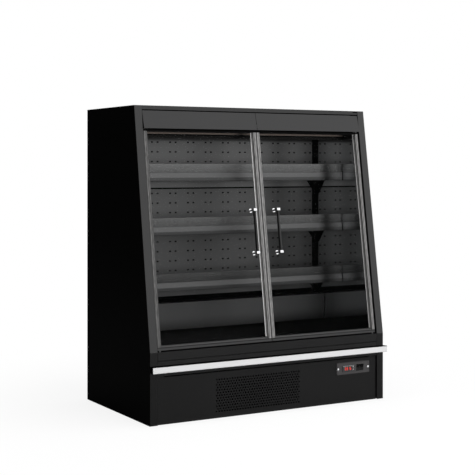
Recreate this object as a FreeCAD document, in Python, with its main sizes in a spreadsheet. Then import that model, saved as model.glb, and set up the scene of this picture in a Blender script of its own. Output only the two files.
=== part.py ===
"""Refrigerated display case with two leaning glass doors.

The case stands on the floor. X runs across it, Y runs from the front to the back and Z runs up.
The origin is under the middle of its outline, on the floor. Profiles are drawn in the case's own
plane: Y from the lower front face, Z from the floor. Door pieces are drawn in the door's plane:
depth behind the sloped front, and height along the slope from the knee where the slope starts.
"""
import FreeCAD, Part
import math
import os
import re
import Sketcher

doc = FreeCAD.newDocument("DisplayCase")

# Driving sizes, in millimetres, degrees and counts, as plain numbers in a sheet
SIZES = {
    # The whole case
    "case_width": 1330,
    "case_height": 1485,
    "case_depth": 737,
    "top_setback": 173,
    "knee_height": 337,
    "side_thick": 40,
    "edge_round": 2,
    "floor_gap": 4,
    "sheet": 1.5,
    "skin": 1,
    "seam": 2,
    "cut_over": 5,
    "edge_touch": 0.01,
    # The insulated walls and the mirrors on the side walls
    "tub_low": 226,
    "tub_thick": 36,
    "tub_wall": 40,
    "rear_thick": 60,
    "roof_thick": 45,
    "mirror_thick": 2.5,
    "mirror_recess": 36,
    # The canopy over the doors
    "trim_tall": 20,
    "trim_groove": 3,
    "fascia_room": 25,
    "fascia_tall": 86,
    "fascia_proud": 7.5,
    "fascia_return": 10,
    "lamp_rise": 14,
    "lamp_wide": 16,
    "lamp_tall": 14,
    "lamp_inset": 35,
    "liner_rise": 8,
    "grille_front": 287,
    "grille_back": 331,
    "grille_rise": 15,
    "ceiling_height": 1343,
    "ceiling_step": 9,
    "grille_thick": 16,
    "grille_slot": 15,
    "grille_web": 5,
    "grille_edge": 6,
    # The air duct at the back, its perforated panels and the shelf uprights
    "duct_front": 566,
    "upright_front": 562,
    "upright_wide": 20,
    "upright_deep": 30,
    "upright_slot": 12,
    "upright_slot_wide": 4,
    "upright_slot_deep": 5,
    "duct_low": 524.5,
    "duct_joint": 1081,
    "vent_pitch": 50,
    "vent_long": 9,
    "vent_tall": 5,
    "vent_spread": 32,
    "vent_pairs": 12,
    "vent_top_margin": 23,
    "vent_rows_upper": 5,
    "vent_joint_margin": 25,
    "vent_rows_lower": 11,
    # The evaporator, its cover, fans and the deck over them
    "deck_top": 364,
    "deck_front": 71,
    "deck_slot": 14,
    "deck_slot_tall": 60,
    "deck_slot_pitch": 24,
    "cover_front": 472,
    "cover_top": 500,
    "cover_rise": 30,
    "coil_front": 500,
    "coil_deep": 120,
    "coil_tall": 190,
    "coil_inset": 60,
    "coil_pitch": 12,
    "coil_gap": 9,
    "coil_spine": 4,
    "tube_radius": 5,
    "tube_spacing": 40,
    "fan_plate_back": 210,
    "fan_offset": 300,
    "blower_radius": 38,
    "fan_play": 4,
    "fan_deep": 16,
    "fan_hub_share": 0.32,
    "fan_shaft": 3,
    "shaft_play": 0.05,
    "blade_thick": 2,
    "blade_root_pitch": 50,
    "blade_tip_pitch": 25,
    "blade_count": 5,
    "motor_long": 26,
    "arm_wide": 8,
    "arm_thick": 3,
    # The three shelves
    "shelf_front": 300,
    "shelf_gap": 4,
    "shelf_side_gap": 2.5,
    "shelf_fold": 30,
    "shelf_back_fold": 20,
    "top_rail_height": 1164.5,
    "middle_rail_height": 897.5,
    "bottom_rail_height": 622,
    "rail_over": 10,
    "price_rail_tall": 43.5,
    "price_rail_thick": 12,
    "price_rail_lean": 6,
    "price_rail_crease": 25,
    "price_rail_tuck": 3,
    "riser_tall": 43,
    "riser_thick": 2,
    "riser_back": 7,
    "bracket_thick": 3,
    "bracket_front": 20,
    "gusset_out": 80,
    "gusset_drop": 105,
    "gusset_foot": 20,
    # The sill, the bumper and the kick panel
    "sill_seam_height": 296,
    "sill_deep": 45,
    "bumper_out": 34,
    "bumper_low": 245,
    "bumper_tall": 31,
    "bumper_face": 5,
    "bumper_round": 2,
    "carrier_inset": 1,
    "cap_thick": 4,
    "cap_stand": 11,
    "kick_top": 219,
    "kick_gap": 2,
    "kick_recess": 8,
    "kick_flange": 12,
    "hole_size": 9.3,
    "hole_pitch": 14.5,
    "hole_columns": 33,
    "hole_rows": 13,
    "holes_left": -310.5,
    "holes_low": 32,
    # The control panel at the right of the kick panel
    "control_across": 479,
    "control_height": 172.5,
    "bezel_wide": 203,
    "bezel_tall": 62,
    "bezel_thick": 5,
    "bezel_bevel": 3,
    "bezel_round": 6,
    "bezel_tongue": 10,
    "screw_across": 92,
    "screw_radius": 5.2,
    "screw_tall": 2.4,
    "thermostat_across": -30.5,
    "thermostat_wide": 74,
    "thermostat_tall": 32,
    "thermostat_proud": 2.5,
    "thermostat_shrink": 3,
    "thermostat_deep": 58,
    "display_wide": 44,
    "display_tall": 18,
    "display_recess": 0.8,
    "button_across": 27.6,
    "button_up": 6.2,
    "button_size": 8.6,
    "button_travel": 0.8,
    "button_proud": 1.2,
    "button_tall": 2.6,
    "button_play": 0.25,
    "rocker_first": 30,
    "rocker_pitch": 22.4,
    "rocker_wide": 19,
    "rocker_tall": 31,
    "rocker_play": 1,
    "rocker_deep": 13,
    "rocker_proud": 3,
    "rocker_tilt": 7,
    "rocker_dish": 2,
    "rocker_pin": 1.5,
    "well_wall": 1.2,
    "well_deep": 20,
    # The machine compartment under the insulated tub
    "frame_low": 30,
    "frame_inset": 15,
    "frame_plate": 3,
    "frame_rim": 28,
    "post_wide": 40,
    "foot_radius": 22,
    "foot_thick": 8,
    "stem_radius": 7,
    "condenser_front": 16,
    "condenser_deep": 44,
    "condenser_wide": 470,
    "condenser_tall": 158,
    "shroud_gap": 4,
    "condenser_fan_radius": 68,
    "compressor_back": 290,
    "compressor_radius": 78,
    "compressor_tall": 168,
    "compressor_dome": 45,
    "compressor_foot": 12,
    "compressor_plate": 200,
    "compressor_seam": 4,
    "louvre_wide": 120,
    "louvre_tall": 6,
    "louvre_pitch": 16,
    "louvre_rows": 8,
    "louvre_columns": 4,
    "louvre_gap": 30,
    "louvre_margin": 40,
    "inlet_across": 540,
    "inlet_height": 120,
    "inlet_wide": 48,
    "inlet_tall": 28,
    "inlet_deep": 34,
    "inlet_wall": 3,
    "inlet_pin": 2,
    "inlet_pin_pitch": 14,
    # The two doors
    "door_side_gap": 4,
    "door_meet_gap": 3,
    "door_rise": 8,
    "door_lip_gap": 2.2,
    "door_recess": 8,
    "door_thick": 18,
    "stile_wide": 17,
    "stile_face": 2,
    "stile_web": 11,
    "stile_groove_at": 9.5,
    "stile_groove": 2.2,
    "stile_groove_deep": 1.4,
    "rail_tall": 14,
    "rail_web": 9.5,
    "top_rail_tall": 9,
    "glass_thick": 4,
    "glass_play": 0.5,
    "pivot_inset": 14,
    "pivot_deep": 18,
    "pivot_radius": 4,
    "pivot_play": 0.08,
    "pivot_long": 7,
    "pivot_boss": 6,
    "pivot_gap": 0.5,
    "bracket_reach": 28,
    "bracket_tall": 5,
    "bracket_deep": 16,
    "gasket_inset": 5,
    "gasket_wide": 5,
    "gasket_thick": 4,
    # The door handles
    "handle_across": 67,
    "handle_out": 30,
    "handle_low": 446,
    "handle_long": 195,
    "handle_radius": 7.5,
    "handle_flat": 1.5,
    "mount_base": 10,
    "mount_base_thick": 4,
    "mount_post": 5.5,
    "mount_head": 10,
    "mount_head_tall": 15,
    "mount_round": 2.5,
}

sheet = doc.addObject("Spreadsheet::Sheet", "Sizes")
for row, (name, number) in enumerate(SIZES.items(), start=1):
    sheet.set(f"A{row}", name)
    sheet.set(f"B{row}", str(number))
    sheet.setAlias(f"B{row}", name)
doc.recompute()

# Places that several pieces share, worked out from the sheet
INSIDE = "(case_width / 2 - side_thick)"
CLEAR_INSIDE = f"({INSIDE} - mirror_thick)"
FRONT = "((bumper_out - case_depth) / 2)"
SLOPE = "(top_setback / (case_height - knee_height))"
LEAN = f"atan({SLOPE})"
TUB_FLOOR = "(tub_low + tub_thick)"
REAR_FACE = "(case_depth - rear_thick)"
TRIM_LOW = "(case_height - trim_tall)"
FASCIA_TOP = f"({TRIM_LOW} - trim_groove)"
LIP = f"({FASCIA_TOP} - fascia_tall)"
LIP_FRONT = f"(({LIP} - knee_height) * {SLOPE} - fascia_proud)"
CEILING_EDGE = "(ceiling_height + ceiling_step)"
DOOR_TOP = f"(({LIP} - knee_height) / cos({LEAN}) - door_lip_gap)"
DOOR_BACK = "(door_recess + door_thick)"
DOOR_OUTER = f"({INSIDE} - door_side_gap)"
DOOR_INNER = "(door_meet_gap / 2)"
GLASS_FRONT = "(door_recess + stile_face)"
GLASS_REAR = f"({DOOR_BACK} - stile_face)"
FRAME_FLOOR = "(frame_low + frame_plate)"

pieces = []


def linked(text):
    """The expression with each size's name pointed at its cell."""
    return re.sub(r"[A-Za-z_]\w*", lambda word: "Sizes." + word[0] if word[0] in SIZES else word[0], str(text))


def value(text):
    """The number that an expression has now."""
    return float(sheet.evalExpression(linked(text)))


def bind(thing, prop, text):
    """Ties one property to an expression on the sheet."""
    thing.setExpression(prop, linked(text))


def keep(thing, label):
    """Names a finished piece and puts it on the list that is written out."""
    thing.Label = label
    pieces.append(thing)
    return thing


def placed(thing, frame, across="0"):
    """Stands a piece in the case's frame, or in the frame of the sloped doors."""
    bind(thing, "Placement.Base.x", across)
    bind(thing, "Placement.Base.y", FRONT)
    if frame == "door":
        bind(thing, "Placement.Base.z", "knee_height")
        thing.Placement.Rotation = FreeCAD.Rotation(FreeCAD.Vector(1, 0, 0), -value(LEAN))
        bind(thing, "Placement.Rotation.Angle", LEAN)
        bind(thing, "Placement.Rotation.Axis.x", "-1")
    return thing


def sketch_in(body, plane, loops, height="0"):
    """A sketch of closed loops, each corner held by expressions.

    A corner is (first, second), and a third entry makes the edge that leaves it an arc of that
    radius, which bulges to the right of the way the loop runs.
    """
    sketch = body.newObject("Sketcher::SketchObject", "Outline")
    role = [item for item in body.Origin.OriginFeatures if item.Role == plane][0]
    sketch.AttachmentSupport = [(role, "")]
    sketch.MapMode = "FlatFace"
    bind(sketch, "AttachmentOffset.Base.z", height)
    for loop in loops:
        spots = [FreeCAD.Vector(value(corner[0]), value(corner[1]), 0) for corner in loop]
        first = sketch.GeometryCount
        edges = []
        for index, corner in enumerate(loop):
            start = spots[index]
            end = spots[(index + 1) % len(loop)]
            edges.append(arc_edge(start, end, value(corner[2])) if len(corner) > 2 else Part.LineSegment(start, end))
        sketch.addGeometry(edges, False)
        rules = []
        for index, corner in enumerate(loop):
            own = first + index
            rules.append(Sketcher.Constraint("Coincident", own, 2, first + (index + 1) % len(loop), 1))
            rules.append(Sketcher.Constraint("DistanceX", -1, 1, own, 1, spots[index].x))
            rules.append(Sketcher.Constraint("DistanceY", -1, 1, own, 1, spots[index].y))
            if len(corner) > 2:
                rules.append(Sketcher.Constraint("Radius", own, value(corner[2])))
        count = sketch.ConstraintCount
        sketch.addConstraint(rules)
        for corner in loop:
            sketch.setExpression(f"Constraints[{count + 1}]", linked(corner[0]))
            sketch.setExpression(f"Constraints[{count + 2}]", linked(corner[1]))
            count += 3
            if len(corner) > 2:
                sketch.setExpression(f"Constraints[{count}]", linked(corner[2]))
                count += 1
    return sketch


def arc_edge(start, end, radius):
    """The shorter arc from start to end that bulges to the right of the way from one to the other."""
    chord = end - start
    middle = (start + end) * 0.5
    right = FreeCAD.Vector(chord.y, -chord.x, 0).normalize()
    bulge = radius - math.sqrt(max(radius ** 2 - (chord.Length / 2) ** 2, 0))
    return Part.Arc(start, middle + right * bulge, end)


def body_of(plane, loops, length, frame="case", across="0", height="0", both_ways=False):
    """A body made from one padded sketch."""
    body = doc.addObject("PartDesign::Body", "Body")
    sketch = sketch_in(body, plane, loops, height)
    pad = body.newObject("PartDesign::Pad", "Pad")
    pad.Profile = sketch
    pad.SideType = "Symmetric" if both_ways else "One side"
    bind(pad, "Length", length)
    return placed(body, frame, across)


def section(points, wide, frame="case", across="0"):
    """A piece with one section, drawn from the side, all the way across."""
    return body_of("YZ_Plane", [points], wide, frame, across, both_ways=True)


def hollow(body, points, length, height="0"):
    """Empties the inside of a foamed panel, so that only its metal skin has weight."""
    doc.recompute()
    sketch = sketch_in(body, "YZ_Plane", [points], height)
    space = body.newObject("PartDesign::Pocket", "Space")
    space.Profile = sketch
    space.SideType = "Symmetric"
    bind(space, "Length", length)
    return body


def group(label, things):
    """Like pieces that share one name, each still its own solid."""
    doc.recompute()
    gathered = doc.addObject("Part::Compound", "Group")
    gathered.Links = things
    return keep(gathered, label)


def shaped(label, shape):
    """A piece whose shape comes from geometry code, standing in the case's frame."""
    thing = doc.addObject("Part::Feature", "Shape")
    thing.Shape = Part.makeCompound(shape.Solids)
    placed(thing, "case")
    return keep(thing, label)


def fillet(body, radius, wanted):
    """Rounds the edges of a body whose middle point passes the test."""
    doc.recompute()
    tip = body.Tip
    names = [f"Edge{number}" for number, edge in enumerate(tip.Shape.Edges, start=1)
             if wanted(edge, edge.CenterOfMass)]
    round_off = body.newObject("PartDesign::Fillet", "Fillet")
    round_off.Base = (tip, names)
    bind(round_off, "Radius", radius)
    return body


def box(x, y, z):
    """A solid block between pairs of numbers."""
    low = FreeCAD.Vector(x[0], y[0], z[0])
    return Part.makeBox(x[1] - x[0], y[1] - y[0], z[1] - z[0], low)


def rod(radius, start, end):
    """A round bar from one point to another."""
    way = end - start
    return Part.makeCylinder(radius, way.Length, start, way)


def slot_wire(across, height, long, tall):
    """The outline of a level slot with round ends, in the plane of a panel that faces the front."""
    reach = (long - tall) / 2
    half = tall / 2
    spots = [FreeCAD.Vector(across + side * reach, 0, height + end * half)
             for side, end in ((-1, -1), (1, -1), (1, 1), (-1, 1))]
    right = FreeCAD.Vector(across + reach + half, 0, height)
    left = FreeCAD.Vector(across - reach - half, 0, height)
    return Part.Wire([Part.LineSegment(spots[0], spots[1]).toShape(),
                      Part.Arc(spots[1], right, spots[2]).toShape(),
                      Part.LineSegment(spots[2], spots[3]).toShape(),
                      Part.Arc(spots[3], left, spots[0]).toShape()])


def round_wire(across, height, radius):
    """The outline of a round hole in a panel that faces the front."""
    return Part.Wire([Part.makeCircle(radius, FreeCAD.Vector(across, 0, height), FreeCAD.Vector(0, 1, 0))])


def panel_wire(x, z):
    """A rectangle in a plane that faces the front."""
    corners = [FreeCAD.Vector(x[0], 0, z[0]), FreeCAD.Vector(x[1], 0, z[0]),
               FreeCAD.Vector(x[1], 0, z[1]), FreeCAD.Vector(x[0], 0, z[1])]
    return Part.makePolygon(corners + corners[:1])


def holed_panel(x, y, z, holes):
    """A sheet that faces the front, with holes through it, between pairs of numbers."""
    face = Part.makeFace([panel_wire(x, z)] + holes, "Part::FaceMakerCheese")
    panel = face.extrude(FreeCAD.Vector(0, y[1] - y[0], 0))
    panel.translate(FreeCAD.Vector(0, y[0], 0))
    return panel


def finned_coil(x, y, z):
    """A heat exchanger: fins on a spine, and the tube bends that show at both ends."""
    pitch = value("coil_pitch")
    gap = value("coil_gap")
    spine = value("coil_spine")
    corners = [FreeCAD.Vector(x[0], y[1], z[0]), FreeCAD.Vector(x[0], y[0], z[0])]
    count = int((x[1] - x[0] - gap) // pitch)
    margin = (x[1] - x[0] - count * pitch) / 2
    for index in range(count):
        left = x[0] + margin + index * pitch
        for across, deep in ((left, y[0]), (left, y[1] - spine), (left + gap, y[1] - spine), (left + gap, y[0])):
            corners.append(FreeCAD.Vector(across, deep, z[0]))
    corners += [FreeCAD.Vector(x[1], y[0], z[0]), FreeCAD.Vector(x[1], y[1], z[0])]
    comb = Part.Face(Part.makePolygon(corners + corners[:1])).extrude(FreeCAD.Vector(0, 0, z[1] - z[0]))
    radius = value("tube_radius")
    spacing = value("tube_spacing")
    bends = []
    rows = int((z[1] - z[0] - spacing / 2) // spacing)
    for end, way in ((x[0], -1), (x[1], 1)):
        for row in range(rows):
            middle = FreeCAD.Vector(end, (y[0] + y[1]) / 2, z[0] + spacing * (row + 0.5) + spacing / 4)
            ring = Part.makeTorus(spacing / 2 - radius, radius, middle, FreeCAD.Vector(0, 1, 0))
            reach = sorted((end, end + way * spacing))
            room = box(reach, (y[0], y[1]), (z[0], z[1] + spacing))
            bends.append(ring.common(room))
    return Part.makeCompound([comb] + [solid for bend in bends for solid in bend.Solids])


def fan_wheel(centre, radius):
    """A hub with twisted blades, turning about a level axis from front to back."""
    deep = value("fan_deep")
    hub = radius * value("fan_hub_share")
    start = centre - FreeCAD.Vector(0, deep / 2, 0)
    end = centre + FreeCAD.Vector(0, deep / 2, 0)
    wheel = rod(hub, start, end)
    thick = value("blade_thick")
    count = int(value("blade_count"))
    for index in range(count):
        wires = []
        for out, pitch in ((hub / 2, value("blade_root_pitch")), (radius, value("blade_tip_pitch"))):
            half = deep / 2 / math.sin(math.radians(pitch)) * math.sin(math.radians(value("blade_tip_pitch")))
            corners = [FreeCAD.Vector(across, deep_at, out)
                       for across, deep_at in ((-half, -thick / 2), (half, -thick / 2),
                                               (half, thick / 2), (-half, thick / 2))]
            wire = Part.makePolygon(corners + corners[:1])
            wire.rotate(FreeCAD.Vector(0, 0, out), FreeCAD.Vector(0, 0, 1), pitch)
            wires.append(wire)
        blade = Part.makeLoft(wires, True, True)
        blade.rotate(FreeCAD.Vector(), FreeCAD.Vector(0, 1, 0), 360 / count * index)
        blade.translate(centre)
        wheel = wheel.fuse(blade)
    bore = value("fan_shaft") + value("shaft_play")
    over = FreeCAD.Vector(0, value("cut_over"), 0)
    return wheel.cut(rod(bore, start - over, end + over))


def fan_motor(centre, radius, plate_back):
    """A motor behind a fan, on three arms that stand on the plate round the fan, and its shaft."""
    deep = value("fan_deep")
    play = value("fan_play")
    back = centre.y + deep / 2 + play
    core = FreeCAD.Vector(centre.x, back, centre.z)
    end = core + FreeCAD.Vector(0, value("motor_long"), 0)
    motor = rod(radius * value("fan_hub_share"), core, end)
    shaft = rod(value("fan_shaft"), core - FreeCAD.Vector(0, deep + play, 0), core)
    motor = motor.fuse(shaft)
    wide = value("arm_wide") / 2
    thick = value("arm_thick")
    foot = radius + play
    for index in range(3):
        arm = box((-wide, wide), (back, back + thick), (0, foot + thick * 2))
        leg = box((-wide, wide), (plate_back, back + thick), (foot + thick, foot + thick * 2))
        strut = arm.fuse(leg)
        strut.rotate(FreeCAD.Vector(), FreeCAD.Vector(0, 1, 0), 120 * index + 60)
        strut.translate(FreeCAD.Vector(centre.x, 0, centre.z))
        motor = motor.fuse(strut)
    return motor.removeSplitter()


# The two side panels carry everything between them and reach almost to the floor
def side_panel(label, left_face):
    outline = [("0", "floor_gap"), ("case_depth", "floor_gap"), ("case_depth", "case_height"),
               ("top_setback", "case_height"), ("0", "knee_height")]
    panel = body_of("YZ_Plane", [outline], "side_thick", across=left_face)
    slope = value(SLOPE)
    knee = value("knee_height")
    touch = value("edge_touch")

    def on_front(edge, middle):
        front = max(0, (middle.z - knee) * slope)
        level = abs(edge.Vertexes[0].Z - edge.Vertexes[-1].Z) < touch
        return not level and abs(middle.y - front) < touch

    fillet(panel, "edge_round", on_front)
    inner = [("skin", "floor_gap + skin"), ("case_depth - skin", "floor_gap + skin"),
             ("case_depth - skin", "case_height - skin"), ("top_setback + skin", "case_height - skin"),
             ("skin", "knee_height")]
    return keep(hollow(panel, inner, "side_thick - 2 * skin", "side_thick / 2"), label)


side_panel("left_side_panel", "-case_width / 2")
side_panel("right_side_panel", INSIDE)

# The mirrors line the side walls behind the doors, from the deck to the ceiling
mirror_points = [(f"((deck_top - knee_height) * sin({LEAN}) + mirror_recess) / cos({LEAN})", "deck_top"),
                 ("upright_front + upright_deep", "deck_top"),
                 ("upright_front + upright_deep", "ceiling_height"),
                 (f"((ceiling_height - knee_height) * sin({LEAN}) + mirror_recess) / cos({LEAN})", "ceiling_height")]
group("side_mirrors", [body_of("YZ_Plane", [mirror_points], "mirror_thick", across=f"-{INSIDE}"),
                       body_of("YZ_Plane", [mirror_points], "mirror_thick", across=CLEAR_INSIDE)])


# The insulated walls: a tub with a front wall, the back and the roof with its front trim
def foamed_panel(label, corners):
    """A panel right across the case, from its corners and which way each lies from the inside."""
    outline = [corner[:2] for corner in corners]
    inner = [(f"{first} - {toward_first} * skin", f"{second} - {toward_second} * skin")
             for first, second, toward_first, toward_second in corners]
    return keep(hollow(section(outline, f"2 * {INSIDE}"), inner, f"2 * ({INSIDE} - skin)"), label)


foamed_panel("insulated_tub", [
    ("sheet", "tub_low", -1, -1), (REAR_FACE, "tub_low", 1, -1), (REAR_FACE, TUB_FLOOR, 1, 1),
    ("sheet + tub_wall", TUB_FLOOR, 1, 1), ("sheet + tub_wall", "knee_height - sheet", 1, 1),
    ("sheet", "knee_height - sheet", -1, 1)])
foamed_panel("rear_wall", [
    (REAR_FACE, "tub_low", -1, -1), ("case_depth", "tub_low", 1, -1),
    ("case_depth", "case_height - roof_thick", 1, 1), (REAR_FACE, "case_height - roof_thick", -1, 1)])
foamed_panel("roof_panel", [
    ("top_setback", TRIM_LOW, -1, -1), ("top_setback + fascia_room", TRIM_LOW, -1, -1),
    ("top_setback + fascia_room", "case_height - roof_thick", -1, -1),
    ("case_depth", "case_height - roof_thick", 1, -1), ("case_depth", "case_height", 1, 1),
    ("top_setback", "case_height", -1, 1)])


# The two fascia panels hang from the roof, and lean out to a lip over the doors
def fascia(label, way):
    run = f"(top_setback - {LIP_FRONT})"
    across = f"(sheet * sqrt(fascia_tall ^ 2 + {run} ^ 2) / fascia_tall)"
    shift = f"(sheet * {run} / fascia_tall)"
    points = [("top_setback + fascia_room", FASCIA_TOP), ("top_setback", FASCIA_TOP),
              (LIP_FRONT, LIP), (f"{LIP_FRONT} + fascia_return", LIP),
              (f"{LIP_FRONT} + fascia_return", f"{LIP} + sheet"),
              (f"{LIP_FRONT} + {across} + {shift}", f"{LIP} + sheet"),
              (f"top_setback + {across} - {shift}", f"{FASCIA_TOP} - sheet"),
              ("top_setback + fascia_room", f"{FASCIA_TOP} - sheet")]
    wide = f"({INSIDE} - seam - seam / 2)"
    return keep(section(points, wide, across=f"{way} * ({wide} / 2 + seam / 2)"), label)


fascia("fascia_left", -1)
fascia("fascia_right", 1)

# The strip lamp hangs on the canopy liner behind the fascia and shines down on the shelves
keep(section([("top_setback + fascia_room - lamp_wide", f"{LIP} + lamp_rise"),
              ("top_setback + fascia_room", f"{LIP} + lamp_rise"),
              ("top_setback + fascia_room", f"{LIP} + lamp_rise + lamp_tall"),
              ("top_setback + fascia_room - lamp_wide", f"{LIP} + lamp_rise + lamp_tall")],
             f"2 * ({INSIDE} - lamp_inset)"), "canopy_lamp")

# The canopy liner: a front sheet from the roof down to the air grille, and the ceiling behind it
group("canopy_liner", [
    section([("top_setback + fascia_room", "case_height - roof_thick"),
             ("top_setback + fascia_room", f"{LIP} + liner_rise"),
             ("grille_front", f"{CEILING_EDGE} + grille_rise"),
             ("grille_front", f"{CEILING_EDGE} + grille_rise + sheet"),
             ("top_setback + fascia_room + sheet", f"{LIP} + liner_rise + sheet"),
             ("top_setback + fascia_room + sheet", "case_height - roof_thick")], f"2 * {INSIDE}"),
    section([("grille_back", CEILING_EDGE), ("grille_back", "ceiling_height"), (REAR_FACE, "ceiling_height"),
             (REAR_FACE, "ceiling_height + sheet"), ("grille_back + sheet", "ceiling_height + sheet"),
             ("grille_back + sheet", CEILING_EDGE)], f"2 * {INSIDE}")])


# The air grille spans the case between the two liner sheets, and lets the cold air fall in a curtain
def air_grille():
    front = FreeCAD.Vector(0, value("grille_front"), value(f"{CEILING_EDGE} + grille_rise"))
    back = FreeCAD.Vector(0, value("grille_back"), value(CEILING_EDGE))
    long = (back - front).Length
    half = value(CLEAR_INSIDE)
    thick = value("grille_thick")
    edge = value("grille_edge")
    slot = value("grille_slot")
    pitch = slot + value("grille_web")
    count = int((2 * half - 2 * edge) // pitch)
    left = -(count * pitch - value("grille_web")) / 2
    row_long = (long - 3 * edge) / 2
    holes = []
    for column in range(count):
        for row in range(2):
            low = edge + row * (row_long + edge)
            x = (left + column * pitch, left + column * pitch + slot)
            holes.append(panel_wire(x, (low, low + row_long)))
    slab = holed_panel((-half, half), (0, thick), (0, long), holes)
    steep = math.degrees(math.atan2(back.z - front.z, back.y - front.y))
    slab.rotate(FreeCAD.Vector(), FreeCAD.Vector(1, 0, 0), steep - 90)
    slab.translate(front)
    low_end = box((-half, half), (value("grille_back"), value("grille_back + grille_thick * 2")),
                  (back.z - thick, back.z + thick * 2))
    high_end = box((-half, half), (value("grille_front - grille_thick * 2"), front.y),
                   (front.z - thick, front.z + thick * 2))
    return slab.cut(low_end).cut(high_end)


shaped("air_discharge_grille", air_grille())


# The perforated duct panels hang between the uprights and blow cold air over each shelf
def duct_panel(label, low, high, top_row, rows):
    half = value(f"{CLEAR_INSIDE} - upright_wide")
    pairs = int(value("vent_pairs"))
    pair_pitch = value(f"2 * {INSIDE} / vent_pairs")
    holes = []
    for row in range(rows):
        height = top_row - row * value("vent_pitch")
        for pair in range(pairs):
            for side in (-0.5, 0.5):
                across = (pair - (pairs - 1) / 2) * pair_pitch + side * value("vent_spread")
                holes.append(slot_wire(across, height, value("vent_long"), value("vent_tall")))
    front = value("duct_front")
    return shaped(label, holed_panel((-half, half), (front, front + value("sheet")), (low, high), holes))


duct_panel("duct_panel_upper", value("duct_joint + seam / 2"), value("ceiling_height"),
           value("ceiling_height - vent_top_margin"), int(value("vent_rows_upper")))
duct_panel("duct_panel_lower", value("duct_low"), value("duct_joint - seam / 2"),
           value("duct_joint - vent_joint_margin"), int(value("vent_rows_lower")))


# The uprights stand on the evaporator cover in the back corners, with slots for the shelf brackets
def upright(way):
    inner = value(f"{CLEAR_INSIDE} - upright_wide")
    outer = value(CLEAR_INSIDE)
    front = value("upright_front")
    low = value("duct_low")
    high = value("ceiling_height")
    x = sorted((way * inner, way * outer))
    bar = box(x, (front, front + value("upright_deep")), (low, high))
    middle = way * (inner + outer) / 2
    half = value("upright_slot_wide / 2")
    pitch = value("vent_pitch / 2")
    slots = []
    height = low + pitch / 2
    while height + pitch < high:
        slots.append(box((middle - half, middle + half), (front - value("cut_over"), front + value("upright_slot_deep")),
                         (height, height + value("upright_slot"))))
        height += pitch
    return bar.cut(Part.makeCompound(slots))


shaped("shelf_uprights", Part.makeCompound([upright(-1), upright(1)]))


# The three shelves: a folded tray, two brackets, a price rail and a clear riser on the rail
def shelf_tray(rail_height):
    top = f"({rail_height} - rail_over)"
    front = "(shelf_front + price_rail_thick)"
    back = "(upright_front - shelf_gap)"
    return section([(front, f"{top} - shelf_fold"), (f"{front} + sheet", f"{top} - shelf_fold"),
                    (f"{front} + sheet", f"{top} - sheet"), (f"{back} - sheet", f"{top} - sheet"),
                    (f"{back} - sheet", f"{top} - shelf_back_fold"), (back, f"{top} - shelf_back_fold"),
                    (back, top), (front, top)], f"2 * ({CLEAR_INSIDE} - shelf_side_gap)")


def shelf_bracket(rail_height, way):
    under = f"({rail_height} - rail_over - sheet)"
    arm = f"({rail_height} - rail_over - shelf_back_fold)"
    outline = [("upright_front", f"{arm}"), ("upright_front - shelf_gap - sheet * 2", arm),
               ("upright_front - shelf_gap - sheet * 2", under),
               ("shelf_front + price_rail_thick + bracket_front", under),
               ("shelf_front + price_rail_thick + bracket_front", arm),
               ("upright_front - gusset_out", f"{under} - shelf_fold"),
               ("upright_front - gusset_foot", f"{under} - gusset_drop"),
               ("upright_front", f"{under} - gusset_drop")]
    middle = f"{way} * ({CLEAR_INSIDE} - upright_wide / 2)"
    return body_of("YZ_Plane", [outline], "bracket_thick", across=middle, both_ways=True)


def price_rail(rail_height):
    low = f"({rail_height} - price_rail_tall)"
    back = "(shelf_front + price_rail_thick)"
    return section([("shelf_front + price_rail_lean", rail_height),
                    ("shelf_front", f"{rail_height} - price_rail_crease"),
                    ("shelf_front + price_rail_tuck", low), (back, low), (back, rail_height)],
                   f"2 * ({CLEAR_INSIDE} - shelf_side_gap)")


def shelf_riser(rail_height):
    front = "(shelf_front + riser_back)"
    return section([(front, rail_height), (f"{front} + riser_thick", rail_height),
                    (f"{front} + riser_thick", f"{rail_height} + riser_tall"),
                    (front, f"{rail_height} + riser_tall")], f"2 * ({CLEAR_INSIDE} - shelf_side_gap)")


levels = {"top_shelf": "top_rail_height", "middle_shelf": "middle_rail_height", "bottom_shelf": "bottom_rail_height"}
for label, level in levels.items():
    keep(shelf_tray(level), label)
group("price_rails", [price_rail(level) for level in levels.values()])
group("shelf_risers", [shelf_riser(level) for level in levels.values()])
group("shelf_brackets", [shelf_bracket(level, way) for level in levels.values() for way in (-1, 1)])


# The deck tray stands on the tub's floor, and the air returns through the slots in its front
def deck_tray():
    half = value(INSIDE)
    front = value("deck_front")
    floor = value(TUB_FLOOR)
    top = value("deck_top")
    thick = value("sheet")
    pitch = value("deck_slot_pitch")
    slot = value("deck_slot")
    tall = value("deck_slot_tall")
    count = int((2 * half - pitch) // pitch)
    middle = (floor + top) / 2
    left = -count * pitch / 2 + (pitch - slot) / 2
    holes = [panel_wire((left + index * pitch, left + index * pitch + slot), (middle - tall / 2, middle + tall / 2))
             for index in range(count)]
    wall = holed_panel((-half, half), (front, front + thick), (floor, top), holes)
    plate = box((-half, half), (front, value("cover_front")), (top - thick, top))
    return wall.fuse(plate).removeSplitter()


shaped("deck_tray", deck_tray())

# The evaporator cover rises from the deck, and its top tucks behind the lower duct panel
back_step = "(duct_front + sheet)"
keep(section([("cover_front", TUB_FLOOR), ("cover_front + sheet", TUB_FLOOR),
              ("cover_front + sheet", "cover_top - sheet"),
              (f"{back_step} + sheet", "cover_top - sheet"), (f"{back_step} + sheet", "cover_top + cover_rise"),
              (back_step, "cover_top + cover_rise"), (back_step, "cover_top"), ("cover_front", "cover_top")],
             f"2 * {CLEAR_INSIDE} - 2 * upright_wide"), "evaporator_cover")

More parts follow.
